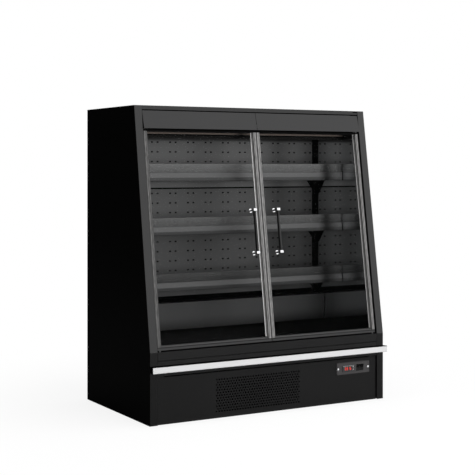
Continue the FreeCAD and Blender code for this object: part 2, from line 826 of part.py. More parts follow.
inset = value(f"{INSIDE} - coil_inset")
shaped("evaporator_coil", finned_coil(
    (-inset, inset), (value("coil_front"), value("coil_front + coil_deep")),
    (value(TUB_FLOOR), value(f"{TUB_FLOOR} + coil_tall"))))

# The fan plate stands across the tub under the deck, with two fans that push air to the evaporator
plate_y = (value("fan_plate_back - sheet"), value("fan_plate_back"))
fan_height = value(f"({TUB_FLOOR} + deck_top - sheet) / 2")
fan_y = value("fan_plate_back + fan_play + fan_deep / 2")
fan_spots = {"left": FreeCAD.Vector(-value("fan_offset"), fan_y, fan_height),
             "right": FreeCAD.Vector(value("fan_offset"), fan_y, fan_height)}
blower = value("blower_radius")
openings = [round_wire(spot.x, spot.z, blower + value("fan_play") / 2) for spot in fan_spots.values()]
fan_plate = holed_panel((-value(INSIDE), value(INSIDE)), plate_y,
                        (value(TUB_FLOOR), value("deck_top - sheet")), openings)
motors = [fan_motor(spot, blower, plate_y[1]) for spot in fan_spots.values()]
shaped("evaporator_fan_plate", Part.makeCompound([fan_plate] + motors))
for name, spot in fan_spots.items():
    shaped(f"evaporator_fan_{name}", fan_wheel(spot, blower))

# The sill under the doors, with its apron below, both folded sheet
group("front_sill", [
    section([("0", "sill_seam_height + seam / 2"), ("sheet", "sill_seam_height + seam / 2"),
             ("sheet", "knee_height - sheet"), ("sill_deep", "knee_height - sheet"), ("sill_deep", "knee_height"),
             ("0", "knee_height")], f"2 * ({INSIDE} - seam / 2)"),
    section([("0", "tub_low"), ("sheet", "tub_low"), ("sheet", "sill_seam_height - seam / 2"),
             ("0", "sill_seam_height - seam / 2")], f"2 * ({INSIDE} - seam / 2)")])

# The bumper is a face strip on a carrier, with a cap at each end of the carrier
keep(section([("-bumper_out + bumper_face", "bumper_low"),
              ("-bumper_out + bumper_face", "bumper_low + bumper_tall"),
              ("-bumper_out + bumper_round", "bumper_low + bumper_tall"),
              ("-bumper_out", "bumper_low + bumper_tall - bumper_round"),
              ("-bumper_out", "bumper_low + bumper_round"),
              ("-bumper_out + bumper_round", "bumper_low")], "case_width"), "bumper_rail")


def carrier_points(back):
    low = "bumper_low + carrier_inset"
    high = "bumper_low + bumper_tall - carrier_inset"
    return [("-bumper_out + bumper_face", low), (back, low), (back, high), ("-bumper_out + bumper_face", high)]


group("bumper_carrier", [
    section(carrier_points("0"), "case_width - 2 * cap_thick"),
    body_of("YZ_Plane", [carrier_points("-cap_stand")], "cap_thick", across="-case_width / 2"),
    body_of("YZ_Plane", [carrier_points("-cap_stand")], "cap_thick", across="case_width / 2 - cap_thick")])


# The kick panel has the round holes of the condenser's grille, and a cut-out behind the controls
def kick_panel():
    half = value(f"{INSIDE} - kick_gap")
    thick = value("sheet")
    low = value("floor_gap")
    high = value("kick_top")
    pitch = value("hole_pitch")
    columns = int(value("hole_columns"))
    holes = []
    for row in range(int(value("hole_rows"))):
        shift = row % 2
        for column in range(columns - shift):
            across = value("holes_left") + (column + shift / 2) * pitch
            height = value("holes_low") + row * pitch * math.sin(math.radians(60))
            holes.append(round_wire(across, height, value("hole_size / 2")))
    middle = value("control_across")
    wide = value("bezel_wide / 2 - bezel_tongue")
    level = value("control_height")
    tall = value("bezel_tall / 2 - bezel_tongue")
    holes.append(panel_wire((middle - wide, middle + wide), (level - tall, level + tall)))
    face = value("kick_recess")
    plate = holed_panel((-half, half), (face, face + thick), (low, high), holes)
    top = box((-half, half), (face, value("frame_inset")), (high - thick, high))
    bottom = box((-half, half), (face, value("kick_flange")), (low, low + thick))
    return plate.fuse([top, bottom]).removeSplitter()


shaped("kick_panel", kick_panel())


def recessed(shape):
    """A control, moved back to the face of the kick panel that carries it."""
    return shape.translated(FreeCAD.Vector(0, value("kick_recess"), 0))


# The control bezel: a bevelled plate with a cut-out for the thermostat and a well for each switch
def control_bezel():
    middle = value("control_across")
    level = value("control_height")
    half_wide = value("bezel_wide / 2")
    half_tall = value("bezel_tall / 2")
    thick = value("bezel_thick")
    bevel = value("bezel_bevel")
    over = value("cut_over")
    plate = box((middle - half_wide, middle + half_wide), (-thick, 0), (level - half_tall, level + half_tall))
    upright_edges = [edge for edge in plate.Edges if edge.BoundBox.YLength > bevel]
    plate = plate.makeFillet(value("bezel_round"), upright_edges)
    rim_edges = [edge for edge in plate.Edges if edge.BoundBox.YMax < -thick / 2]
    bezel = plate.makeChamfer(bevel, rim_edges)
    window = middle + value("thermostat_across")
    wide = value("thermostat_wide / 2 - thermostat_shrink / 2")
    tall = value("thermostat_tall / 2 - thermostat_shrink / 2")
    bezel = bezel.cut(box((window - wide, window + wide), (-thick - over, over), (level - tall, level + tall)))
    wall = value("well_wall")
    play = value("rocker_play")
    deep = value("well_deep")
    for index in range(2):
        across = middle + value("rocker_first") + index * value("rocker_pitch")
        wide = value("rocker_wide / 2") + play
        tall = value("rocker_tall / 2") + play
        outside = box((across - wide - wall, across + wide + wall), (-thick + bevel, deep),
                      (level - tall - wall, level + tall + wall))
        bezel = bezel.fuse(outside)
    for index in range(2):
        across = middle + value("rocker_first") + index * value("rocker_pitch")
        wide = value("rocker_wide / 2") + play
        tall = value("rocker_tall / 2") + play
        bezel = bezel.cut(box((across - wide, across + wide), (-thick - over, deep - wall),
                              (level - tall, level + tall)))
        pivot = FreeCAD.Vector(across, 0, level)
        side = FreeCAD.Vector(wide + wall / 2, 0, 0)
        bezel = bezel.fuse(rod(value("rocker_pin"), pivot - side, pivot + side))
    return bezel.removeSplitter()


shaped("control_bezel", recessed(control_bezel()))


# The thermostat: a front face with a sunk display and a well for each key, and a body behind the panel
def thermostat_parts():
    middle = value("control_across + thermostat_across")
    level = value("control_height")
    front = -value("bezel_thick + thermostat_proud")
    wide = value("thermostat_wide / 2")
    tall = value("thermostat_tall / 2")
    shrink = value("thermostat_shrink / 2")
    play = value("button_play")
    face = box((middle - wide, middle + wide), (front, -value("bezel_thick")), (level - tall, level + tall))
    rounded = [edge for edge in face.Edges if abs(edge.CenterOfMass.y - front) < value("edge_touch")]
    face = face.makeFillet(value("thermostat_proud / 2"), rounded)
    body = box((middle - wide + shrink + play, middle + wide - shrink - play),
               (-value("bezel_thick"), value("thermostat_deep")),
               (level - tall + shrink + play, level + tall - shrink - play))
    whole = face.fuse(body)
    sunk = box((middle - value("display_wide / 2"), middle + value("display_wide / 2")),
               (front - value("cut_over"), front + value("display_recess")),
               (level - value("display_tall / 2"), level + value("display_tall / 2")))
    whole = whole.cut(sunk)
    half = value("button_size / 2")
    deep = value("button_tall - button_proud + button_travel")
    keys = {}
    for side, across in (("left", -value("button_across")), ("right", value("button_across"))):
        for end, up in (("upper", value("button_up")), ("lower", -value("button_up"))):
            spot = FreeCAD.Vector(middle + across, front, level + up)
            well = box((spot.x - half - play, spot.x + half + play), (front - value("cut_over"), front + deep + play),
                       (spot.z - half - play, spot.z + half + play))
            whole = whole.cut(well)
            key = box((spot.x - half, spot.x + half), (front - value("button_proud"),
                                                       front + value("button_tall - button_proud")),
                      (spot.z - half, spot.z + half))
            soft = [edge for edge in key.Edges
                    if abs(edge.CenterOfMass.y - key.BoundBox.YMin) < value("edge_touch")]
            keys[f"button_{end}_{side}"] = key.makeFillet(value("button_proud / 2"), soft)
    return whole.removeSplitter(), keys


thermostat, keys = thermostat_parts()
shaped("thermostat", recessed(thermostat))
for name, key in keys.items():
    shaped(name, recessed(key))


# Each rocker is a dished bar that tips on a pin across its well
def rocker(label, index):
    across = value("control_across + rocker_first") + index * value("rocker_pitch")
    level = value("control_height")
    half = value("rocker_tall / 2")
    proud = value("bezel_thick + rocker_proud")
    deep = value("rocker_deep")
    dish = value("rocker_dish")
    corners = [(-proud, -half), (-proud + dish, 0), (-proud, half), (0, half), (deep, half / 3),
               (deep, -half / 3), (0, -half)]
    spots = [FreeCAD.Vector(0, y, z) for y, z in corners]
    wide = value("rocker_wide")
    bar = Part.Face(Part.makePolygon(spots + spots[:1])).extrude(FreeCAD.Vector(wide, 0, 0))
    bar.translate(FreeCAD.Vector(-wide / 2, 0, 0))
    bore = rod(value("rocker_pin + shaft_play"), FreeCAD.Vector(-wide, 0, 0), FreeCAD.Vector(wide, 0, 0))
    bar = bar.cut(bore)
    bar.rotate(FreeCAD.Vector(), FreeCAD.Vector(1, 0, 0), value("rocker_tilt"))
    bar.translate(FreeCAD.Vector(across, 0, level))
    return shaped(label, recessed(bar))


rocker("rocker_lights", 0)
rocker("rocker_power", 1)


# Two domed screws hold the bezel
def dome_screw(across):
    radius = value("screw_radius")
    tall = value("screw_tall")
    ball = (radius ** 2 + tall ** 2) / (2 * tall)
    face = -value("bezel_thick")
    spot = FreeCAD.Vector(across, face - tall + ball, value("control_height"))
    dome = Part.makeSphere(ball, spot)
    room = box((across - ball, across + ball), (face - tall - ball, face),
               (spot.z - ball, spot.z + ball))
    return dome.common(room)


shaped("control_screws", recessed(Part.makeCompound(
    [dome_screw(value(f"control_across + {way} * screw_across")) for way in (-1, 1)])))

# The base frame: a tray with a rim between the side panels, and four posts that carry the tub
rim = "(frame_low + frame_rim)"
low_front = "frame_inset"
low_back = "(case_depth - frame_inset)"
doc.recompute()


def base_frame():
    half = value(INSIDE)
    front = value(low_front)
    back = value(low_back)
    low = value("frame_low")
    floor = value(FRAME_FLOOR)
    high = value(rim)
    plate = value("frame_plate")
    post = value("post_wide")
    parts = [box((-half, half), (back - plate, back), (low, high)),
             box((-half, -half + plate), (front, back), (low, high)),
             box((half - plate, half), (front, back), (low, high))]
    for x in ((-half, -half + post), (half - post, half)):
        for y in ((front, front + post), (back - post, back)):
            parts.append(box(x, y, (low, value("tub_low"))))
    return box((-half, half), (front, back), (low, floor)).fuse(parts).removeSplitter()


shaped("base_frame", base_frame())


# Four levelling feet, each a round pad on a stem that screws into the frame
def foot(across, back):
    pad = [("0", "0"), ("foot_radius", "0"), ("foot_radius", "foot_thick / 2"), ("stem_radius", "foot_thick"),
           ("stem_radius", "frame_low"), ("0", "frame_low")]
    body = doc.addObject("PartDesign::Body", "Body")
    sketch = sketch_in(body, "XZ_Plane", [pad])
    turned = body.newObject("PartDesign::Revolution", "Revolution")
    turned.Profile = sketch
    turned.ReferenceAxis = (sketch, ["V_Axis"])
    turned.Angle = 360
    placed(body, "case", across)
    bind(body, "Placement.Base.y", f"{FRONT} + {back}")
    return body


foot_inset = "(post_wide / 2)"
group("levelling_feet", [foot(f"{way} * ({INSIDE} - {foot_inset} - frame_plate)", back)
                         for way in (-1, 1)
                         for back in (f"{low_front} + {foot_inset}", f"{low_back} - {foot_inset}")])

# The condensing unit: coil, fan and shroud behind the grille, and the compressor behind them
grille_middle = value("holes_left + (hole_columns - 1) * hole_pitch / 2")
coil_y = (value("condenser_front"), value("condenser_front + condenser_deep"))
coil_z = (value(FRAME_FLOOR), value(f"{FRAME_FLOOR} + condenser_tall"))
coil_x = (grille_middle - value("condenser_wide / 2"), grille_middle + value("condenser_wide / 2"))
shaped("condenser_coil", finned_coil(coil_x, coil_y, coil_z))

shroud_y = (coil_y[1] + value("shroud_gap"), coil_y[1] + value("shroud_gap + sheet"))
unit_spot = FreeCAD.Vector(grille_middle, shroud_y[1] + value("fan_play + fan_deep / 2"), sum(coil_z) / 2)
unit_radius = value("condenser_fan_radius")
shroud = holed_panel(coil_x, shroud_y, coil_z, [round_wire(unit_spot.x, unit_spot.z, unit_radius + value("fan_play") / 2)])
flanges = [box(coil_x, (coil_y[1], shroud_y[1]), (coil_z[1] - value("sheet"), coil_z[1])),
           box(coil_x, (coil_y[1], shroud_y[1]), (coil_z[0], coil_z[0] + value("sheet")))]
shroud = shroud.fuse(flanges).removeSplitter()
shaped("condenser_fan_shroud", Part.makeCompound([shroud, fan_motor(unit_spot, unit_radius, shroud_y[1])]))
shaped("condenser_fan", fan_wheel(unit_spot, unit_radius))


def compressor():
    radius = value("compressor_radius")
    foot_tall = value("compressor_foot")
    tall = value("compressor_tall")
    dome = value("compressor_dome")
    seam = value("compressor_seam")
    outline = [(0, foot_tall), (radius - dome / 2, foot_tall), (radius, foot_tall + dome / 2),
               (radius, tall / 2 - seam), (radius + seam, tall / 2), (radius, tall / 2 + seam),
               (radius, tall - dome), (radius - dome / 2, tall - dome / 4), (radius / 2, tall), (0, tall)]
    spots = [FreeCAD.Vector(x, 0, z) for x, z in outline]
    shell = Part.Face(Part.makePolygon(spots + spots[:1])).revolve(FreeCAD.Vector(), FreeCAD.Vector(0, 0, 1), 360)
    half = value("compressor_plate / 2")
    plate = box((-half, half), (-half, half), (foot_tall / 2, foot_tall))
    parts = [shell.fuse(plate)]
    stand = half - foot_tall
    for x in (-stand, stand):
        for y in (-stand, stand):
            parts.append(Part.makeCylinder(foot_tall, foot_tall / 2, FreeCAD.Vector(x, y, 0)))
    unit = Part.makeCompound(parts)
    unit.translate(FreeCAD.Vector(grille_middle, value("compressor_back"), value(FRAME_FLOOR)))
    return unit


shaped("compressor", compressor())


# The service panel closes the machine compartment at the back, with louvres and the power inlet
def service_panel():
    half = value(f"{INSIDE} - kick_gap")
    low = value("floor_gap")
    high = value("kick_top")
    back = value("case_depth")
    thick = value("sheet")
    wide = value("louvre_wide")
    pitch = wide + value("louvre_gap")
    columns = int(value("louvre_columns"))
    holes = []
    for column in range(columns):
        across = -half + value("louvre_margin") + wide / 2 + column * pitch
        for row in range(int(value("louvre_rows"))):
            height = low + value("louvre_margin") + row * value("louvre_pitch")
            holes.append(slot_wire(across, height, wide, value("louvre_tall")))
    middle = value("inlet_across")
    level = value("inlet_height")
    holes.append(panel_wire((middle - value("inlet_wide / 2"), middle + value("inlet_wide / 2")),
                            (level - value("inlet_tall / 2"), level + value("inlet_tall / 2"))))
    plate = holed_panel((-half, half), (back - thick, back), (low, high), holes)
    top = box((-half, half), (value(low_back), back), (high - thick, high))
    return plate.fuse(top).removeSplitter()


shaped("rear_service_panel", service_panel())


def power_inlet():
    middle = value("inlet_across")
    level = value("inlet_height")
    back = value("case_depth")
    deep = value("inlet_deep")
    wall = value("inlet_wall")
    wide = value("inlet_wide / 2")
    tall = value("inlet_tall / 2")
    body = box((middle - wide, middle + wide), (back - deep, back), (level - tall, level + tall))
    hollow = box((middle - wide + wall, middle + wide - wall), (back - deep + wall, back + value("cut_over")),
                 (level - tall + wall, level + tall - wall))
    body = body.cut(hollow)
    for index in (-1, 0, 1):
        start = FreeCAD.Vector(middle + index * value("inlet_pin_pitch"), back - deep + wall / 2, level)
        end = FreeCAD.Vector(start.x, back - wall, level)
        body = body.fuse(rod(value("inlet_pin"), start, end))
    return body.removeSplitter()


shaped("power_inlet", power_inlet())


# The pivots: a boss and pin on the sill and a pin under a bracket on the side wall, for each door
def door_pivots():
    lean = FreeCAD.Rotation(FreeCAD.Vector(1, 0, 0), -value(LEAN))
    radius = value("pivot_radius")
    solids = []
    for way in (-1, 1):
        wall = way * value(INSIDE)
        across = way * value(f"{DOOR_OUTER} - pivot_inset")
        spot = FreeCAD.Vector(across, value("pivot_deep"), 0)
        low = value("door_rise - pivot_gap")
        boss = rod(value("pivot_boss"), spot - FreeCAD.Vector(0, 0, value("pivot_boss")), spot + FreeCAD.Vector(0, 0, low))
        pin = rod(radius, spot - FreeCAD.Vector(0, 0, radius), spot + FreeCAD.Vector(0, 0, low + value("pivot_gap + pivot_long")))
        stud = boss.fuse(pin)
        stud.Placement = FreeCAD.Placement(FreeCAD.Vector(0, 0, value("knee_height")), lean)
        reach = value("pivot_inset + pivot_boss")
        room = box((across - reach, across + reach), (0, value("sill_deep")),
                   (value("knee_height"), value("knee_height + door_rise + pivot_long * 2")))
        solids.append(stud.common(room))
        top = value(DOOR_TOP)
        high = top + value("pivot_gap")
        plate = box(sorted((wall, wall - way * value("bracket_reach"))),
                    (value("pivot_deep - pivot_boss"), value("pivot_deep - pivot_boss + bracket_deep")),
                    (high, high + value("bracket_tall")))
        spot = FreeCAD.Vector(across, value("pivot_deep"), 0)
        hanging = rod(radius, spot + FreeCAD.Vector(0, 0, top - value("pivot_long")), spot + FreeCAD.Vector(0, 0, high + radius))
        hanger = plate.fuse(hanging)
        hanger.Placement = FreeCAD.Placement(FreeCAD.Vector(0, 0, value("knee_height")), lean)
        solids.append(hanger)
    return Part.makeCompound(solids)


shaped("door_pivots", door_pivots())


# One door: stiles and rails round a double glass, a gasket behind them, and a handle on the glass
def door(side, way):
    outer = f"({way} * {DOOR_OUTER})"
    inner = f"({way} * {DOOR_INNER})"
    middle = f"(({outer} + {inner}) / 2)"
    wide = f"({DOOR_OUTER} - {DOOR_INNER})"
    bottom = "door_rise"
    stile_low = "(door_rise + rail_tall)"
    stile_high = f"({DOOR_TOP} - top_rail_tall)"

    def stile(edge, inward):
        def at(width):
            return f"({edge} + {inward} * ({width}))"
        points = [(at("0"), "door_recess"), (at("stile_groove_at"), "door_recess"),
                  (at("stile_groove_at"), "door_recess + stile_groove_deep"),
                  (at("stile_groove_at + stile_groove"), "door_recess + stile_groove_deep"),
                  (at("stile_groove_at + stile_groove"), "door_recess"), (at("stile_wide"), "door_recess"),
                  (at("stile_wide"), GLASS_FRONT), (at("stile_web"), GLASS_FRONT), (at("stile_web"), GLASS_REAR),
                  (at("stile_wide"), GLASS_REAR), (at("stile_wide"), DOOR_BACK), (at("0"), DOOR_BACK)]
        return body_of("XY_Plane", [points], f"{stile_high} - {stile_low}", "door", height=stile_low)

    group(f"{side}_door_stiles", [stile(outer, -way), stile(inner, way)])

    lower = [("door_recess", bottom), (DOOR_BACK, bottom), (DOOR_BACK, f"{bottom} + rail_tall"),
             (GLASS_REAR, f"{bottom} + rail_tall"), (GLASS_REAR, f"{bottom} + rail_web"),
             (GLASS_FRONT, f"{bottom} + rail_web"), (GLASS_FRONT, f"{bottom} + rail_tall"),
             ("door_recess", f"{bottom} + rail_tall"), ("door_recess", f"{bottom} + rail_web"),
             ("door_recess + stile_groove_deep", f"{bottom} + rail_web"),
             ("door_recess + stile_groove_deep", f"{bottom} + rail_web - stile_groove"),
             ("door_recess", f"{bottom} + rail_web - stile_groove")]
    upper = [("door_recess", stile_high), (DOOR_BACK, stile_high), (DOOR_BACK, DOOR_TOP), ("door_recess", DOOR_TOP)]
    bored = []
    pivot = f"({outer} - {way} * pivot_inset)"
    for points, mouth, depth in ((lower, bottom, "pivot_long + sheet"), (upper, DOOR_TOP, "-(pivot_long + sheet)")):
        rail = section(points, wide, "door", middle)
        start = f"({mouth})" if depth[0] != "-" else f"({mouth} - pivot_long - sheet)"
        sketch = round_sketch(rail, f"{pivot} - {middle}", "pivot_deep", "pivot_radius + pivot_play", start)
        hole = rail.newObject("PartDesign::Pocket", "Pocket")
        hole.Profile = sketch
        hole.Reversed = True
        bind(hole, "Length", "pivot_long + sheet")
        bored.append(rail)
    group(f"{side}_door_rails", bored)

    edge = f"({wide} / 2 - stile_web - glass_play)"
    low = f"({bottom} + rail_web + glass_play)"
    high = f"({stile_high} - glass_play / 2)"
    panes = [section([(near, low), (far, low), (far, high), (near, high)], f"2 * {edge}", "door", middle)
             for near, far in ((f"{GLASS_FRONT} + glass_play / 5", f"{GLASS_FRONT} + glass_play / 5 + glass_thick"),
                               (f"{GLASS_REAR} - glass_play / 5 - glass_thick", f"{GLASS_REAR} - glass_play / 5"))]
    group(f"{side}_door_glass", panes)

    ring = body_of("XZ_Plane", ring_loops(f"({wide} / 2 - gasket_inset)", f"({bottom} + gasket_inset)",
                                          f"({DOOR_TOP} - gasket_inset)", "gasket_wide"),
                   "gasket_thick", "door", middle, height=f"-({DOOR_BACK} + gasket_thick)")
    keep(ring, f"{side}_door_gasket")

    across = f"({way} * handle_across)"
    grip = body_of("XY_Plane", [grip_loop(across)], "handle_long", "door", height="handle_low")
    keep(grip, f"{side}_handle_bar")
    shaped(f"{side}_handle_mounts", handle_mounts(way))


def round_sketch(body, across, deep, radius, height):
    """A round outline in a body's level plane, for a hole."""
    sketch = body.newObject("Sketcher::SketchObject", "Round")
    role = [item for item in body.Origin.OriginFeatures if item.Role == "XY_Plane"][0]
    sketch.AttachmentSupport = [(role, "")]
    sketch.MapMode = "FlatFace"
    bind(sketch, "AttachmentOffset.Base.z", height)
    centre = FreeCAD.Vector(value(across), value(deep), 0)
    sketch.addGeometry(Part.Circle(centre, FreeCAD.Vector(0, 0, 1), value(radius)), False)
    sketch.addConstraint([Sketcher.Constraint("DistanceX", -1, 1, 0, 3, centre.x),
                          Sketcher.Constraint("DistanceY", -1, 1, 0, 3, centre.y),
                          Sketcher.Constraint("Radius", 0, value(radius))])
    for index, text in enumerate((across, deep, radius)):
        sketch.setExpression(f"Constraints[{index}]", linked(text))
    return sketch


def ring_loops(half, low, high, wide):
    """The outer and inner loop of a rectangular ring."""
    outer = [(f"-{half}", low), (half, low), (half, high), (f"-{half}", high)]
    inner = [(f"-({half} - {wide})", f"{low} + {wide}"), (f"{half} - {wide}", f"{low} + {wide}"),
             (f"{half} - {wide}", f"{high} - {wide}"), (f"-({half} - {wide})", f"{high} - {wide}")]
    return [outer, inner]


def grip_loop(across):
    """The handle bar's section: a round bar with a flat towards the glass."""
    middle = "(-handle_out)"
    flat = "(handle_radius - handle_flat)"
    half = f"sqrt(handle_radius ^ 2 - {flat} ^ 2)"
    return [(f"{across} - {half}", f"{middle} + {flat}", "handle_radius"),
            (across, f"{middle} - handle_radius", "handle_radius"), (f"{across} + {half}", f"{middle} + {flat}")]


def handle_mounts(way):
    """The two brackets of one handle: a disc on the glass, a post and a head that caps the bar."""
    across = way * value("handle_across")
    glass = value(f"{GLASS_FRONT} + glass_play / 5")
    out = -value("handle_out")
    tall = value("mount_head_tall")
    head = value("mount_head")
    solids = []
    for low in (value("handle_low - mount_head_tall"), value("handle_low + handle_long")):
        middle = low + tall / 2
        spot = FreeCAD.Vector(across, glass, middle)
        disc = rod(value("mount_base"), spot - FreeCAD.Vector(0, value("mount_base_thick"), 0), spot)
        post = rod(value("mount_post"), FreeCAD.Vector(across, out, middle), spot)
        cap = box((across - head, across + head), (out - head, out + head), (low, low + tall))
        cap = cap.makeFillet(value("mount_round"), cap.Edges)
        solids.append(disc.fuse([post, cap]).removeSplitter())
    pair = Part.makeCompound(solids)
    pair.Placement = FreeCAD.Placement(FreeCAD.Vector(0, 0, value("knee_height")),
                                       FreeCAD.Rotation(FreeCAD.Vector(1, 0, 0), -value(LEAN)))
    return Part.makeCompound([solid.copy() for solid in pair.Solids])


door("left", -1)
door("right", 1)

doc.recompute()
for thing in doc.Objects:
    if "Invalid" in thing.State or "Error" in thing.State:
        raise RuntimeError(f"{thing.Label} failed: {thing.State}")
for piece in pieces:
    if piece.Shape.isNull() or not piece.Shape.isValid() or not piece.Shape.Solids:
        raise RuntimeError(f"{piece.Label} has no valid solid")

os.makedirs("parts", exist_ok=True)
for piece in pieces:
    piece.Shape.exportStep(f"parts/{piece.Label}.step")
whole = Part.makeCompound([piece.Shape for piece in pieces]).BoundBox
print(len(pieces), "pieces")
print("X", round(whole.XMin, 1), round(whole.XMax, 1), "Y", round(whole.YMin, 1), round(whole.YMax, 1),
      "Z", round(whole.ZMin, 1), round(whole.ZMax, 1))
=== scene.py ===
"""A refrigerated display case: black, with a leaning front, two glass doors and three shelves.

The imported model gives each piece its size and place. Every section finishes one piece, or a group
of like pieces, in the order in which the case is put together. Lengths are in metres.
"""
import math

import bmesh
import bpy
import numpy as np
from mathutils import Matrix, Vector


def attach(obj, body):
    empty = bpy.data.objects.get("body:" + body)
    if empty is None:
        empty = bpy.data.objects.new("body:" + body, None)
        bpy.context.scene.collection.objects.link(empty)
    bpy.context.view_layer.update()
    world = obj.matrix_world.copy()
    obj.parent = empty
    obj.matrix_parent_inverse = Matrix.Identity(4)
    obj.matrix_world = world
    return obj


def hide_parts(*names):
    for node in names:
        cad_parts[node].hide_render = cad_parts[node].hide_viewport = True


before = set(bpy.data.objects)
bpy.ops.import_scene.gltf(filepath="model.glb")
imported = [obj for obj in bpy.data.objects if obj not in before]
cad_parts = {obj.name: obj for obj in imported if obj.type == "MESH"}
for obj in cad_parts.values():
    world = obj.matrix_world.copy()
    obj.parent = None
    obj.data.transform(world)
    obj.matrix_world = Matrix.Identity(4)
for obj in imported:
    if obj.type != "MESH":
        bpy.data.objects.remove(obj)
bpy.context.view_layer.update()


# The studio: a pale floor in a white room, soft light from the front and from above, and a camera
# that looks level at the case, 30 degrees round to its left. The picture is 475 pixels square, and
# the focal length and the height of the horizon are in its pixels too.
class Signal:
    """A value that runs between nodes. An expression on signals adds the Math nodes it needs."""

    def __init__(self, tree, socket):
        self.tree = tree
        self.socket = socket

    def worked(self, operation, *terms):
        node = self.tree.nodes.new("ShaderNodeMath")
        node.operation = operation
        for socket, term in zip(node.inputs, terms):
            feed(self.tree, socket, term)
        return Signal(self.tree, node.outputs[0])

    def __add__(self, other):
        return self.worked("ADD", self, other)

    def __sub__(self, other):
        return self.worked("SUBTRACT", self, other)

    def __rsub__(self, other):
        return self.worked("SUBTRACT", other, self)

    def __mul__(self, other):
        return self.worked("MULTIPLY", self, other)

    def __gt__(self, other):
        return self.worked("GREATER_THAN", self, other)

    def __lt__(self, other):
        return self.worked("LESS_THAN", self, other)

    def __abs__(self):
        return self.worked("ABSOLUTE", self)

    def zigzag(self, half):
        """The distance to the nearest even multiple of half, from 0 up to half and back."""
        return self.worked("PINGPONG", self, half)

    __radd__ = __add__
    __rmul__ = __mul__


def feed(tree, socket, value):
    """Links a signal to a socket, or sets the socket to a number or a colour."""
    if isinstance(value, Signal):
        tree.links.new(value.socket, socket)
    elif socket.type == "RGBA" and len(value) == 3:
        socket.default_value = (*value, 1)
    else:
        socket.default_value = value


class Finish:
    """The nodes of one material, or of the room round the case."""

    def __init__(self, name, owner=None):
        self.owner = owner or bpy.data.materials.new(name)
        self.owner.use_nodes = True
        self.tree = self.owner.node_tree
        self.tree.nodes.clear()

    def node(self, kind, settings=None, sockets=None, output=0):
        """Adds one node, sets it up, feeds its sockets, and gives the signal of one output."""
        node = self.tree.nodes.new(kind)
        for name, value in (settings or {}).items():
            setattr(node, name, value)
        for name, value in (sockets or {}).items():
            feed(self.tree, node.inputs[name], value)
        return Signal(self.tree, node.outputs[output])

    def place(self):
        return self.node("ShaderNodeTexCoord", output="Object")

    def along(self, axis):
        return self.node("ShaderNodeSeparateXYZ", None, {"Vector": self.place()}, axis)

    def noise(self, scale, detail=2, stretch=(1, 1, 1)):
        """Cloudy noise from 0 to 1, with features about one over scale in size."""
        spot = self.node("ShaderNodeMapping", None, {"Vector": self.place(), "Scale": stretch})
        return self.node("ShaderNodeTexNoise", None,
                         {"Vector": spot, "Scale": scale, "Detail": detail})

    def eased(self, value, low, high, start=0, end=1):
        """A smooth step from start to end as the value goes from low to high."""
        return self.node("ShaderNodeMapRange", {"interpolation_type": "SMOOTHSTEP"},
                         {"Value": value, "From Min": low, "From Max": high,
                          "To Min": start, "To Max": end})

    def blend(self, mask, first, second):
        """The first colour where the mask is 0, and the second where it is 1."""
        return self.node("ShaderNodeMix", {"data_type": "RGBA"}, {0: mask, 6: first, 7: second}, 2)

    def surface(self, bump=None, depth=0.0001, **sockets):
        """Ends the material in one shader, from its sockets and the relief of its skin."""
        wanted = {name.replace("_", " "): value for name, value in sockets.items()}
        if bump:
            wanted["Normal"] = self.node("ShaderNodeBump", None,
                                         {"Height": bump, "Distance": depth})
        return self.ended(self.node("ShaderNodeBsdfPrincipled", None, wanted))

    def ended(self, shader):
        kind = "World" if isinstance(self.owner, bpy.types.World) else "Material"
        last = self.tree.nodes.new(f"ShaderNodeOutput{kind}")
        self.tree.links.new(shader.socket, last.inputs["Surface"])
        return self


def grey(level):
    return (level, level, level)


def colour_object(thing, finish):
    """Gives a new piece its only finish."""
    thing.data.materials.clear()
    thing.data.materials.append(finish.owner)


PICTURE = 475
FOCAL = 1179
HORIZON = 166.2
SENSOR = 36
camera_data = bpy.data.cameras.new("camera")
camera_data.sensor_width = SENSOR
camera_data.lens = FOCAL * SENSOR / PICTURE
camera_data.shift_y = (HORIZON - PICTURE / 2) / PICTURE
camera = bpy.data.objects.new("camera", camera_data)
camera.location = (-3.022, -5.2375, 1.196)
camera.rotation_euler = (math.radians(90), 0, math.radians(-30))
bpy.context.scene.collection.objects.link(camera)
bpy.context.scene.camera = camera
bpy.context.scene.view_settings.view_transform = "Standard"

WHITE = grey(1)
FRONT_RIGHT = (0.707, -0.707, 0)
BACK_RIGHT = (0.6, 0.8, 0)
FLOOR_HALF = 9


def studio_room():
    """White to the camera. What the case reflects is bright at its front right, from level up to
    overhead, dimmer at its back right and straight above, and black at its left."""
    room = Finish("room", bpy.data.worlds.new("room"))
    seen = room.node("ShaderNodeLightPath", output="Is Camera Ray")
    way = room.node("ShaderNodeTexCoord", output="Generated")
    rise = room.node("ShaderNodeSeparateXYZ", None, {"Vector": way}, 2)
    front, back = (room.node("ShaderNodeVectorMath", {"operation": "DOT_PRODUCT"},
                             {0: way, 1: side}, "Value") for side in (FRONT_RIGHT, BACK_RIGHT))
    glow = room.eased(front, 0.1, 0.85, 0.004, 1.35) * room.eased(rise, -0.2, 0.06, 0.3, 1)
    glow = glow + room.eased(back, 0.68, 1, 0, 0.5) + room.eased(rise, 0.75, 1, 0, 0.5)
    white = room.node("ShaderNodeBackground", None, {"Color": WHITE, "Strength": 1})
    soft = room.node("ShaderNodeBackground", None, {"Color": WHITE, "Strength": glow})
    room.ended(room.node("ShaderNodeMixShader", None, {0: seen, 1: soft, 2: white}))
    bpy.context.scene.world = room.owner


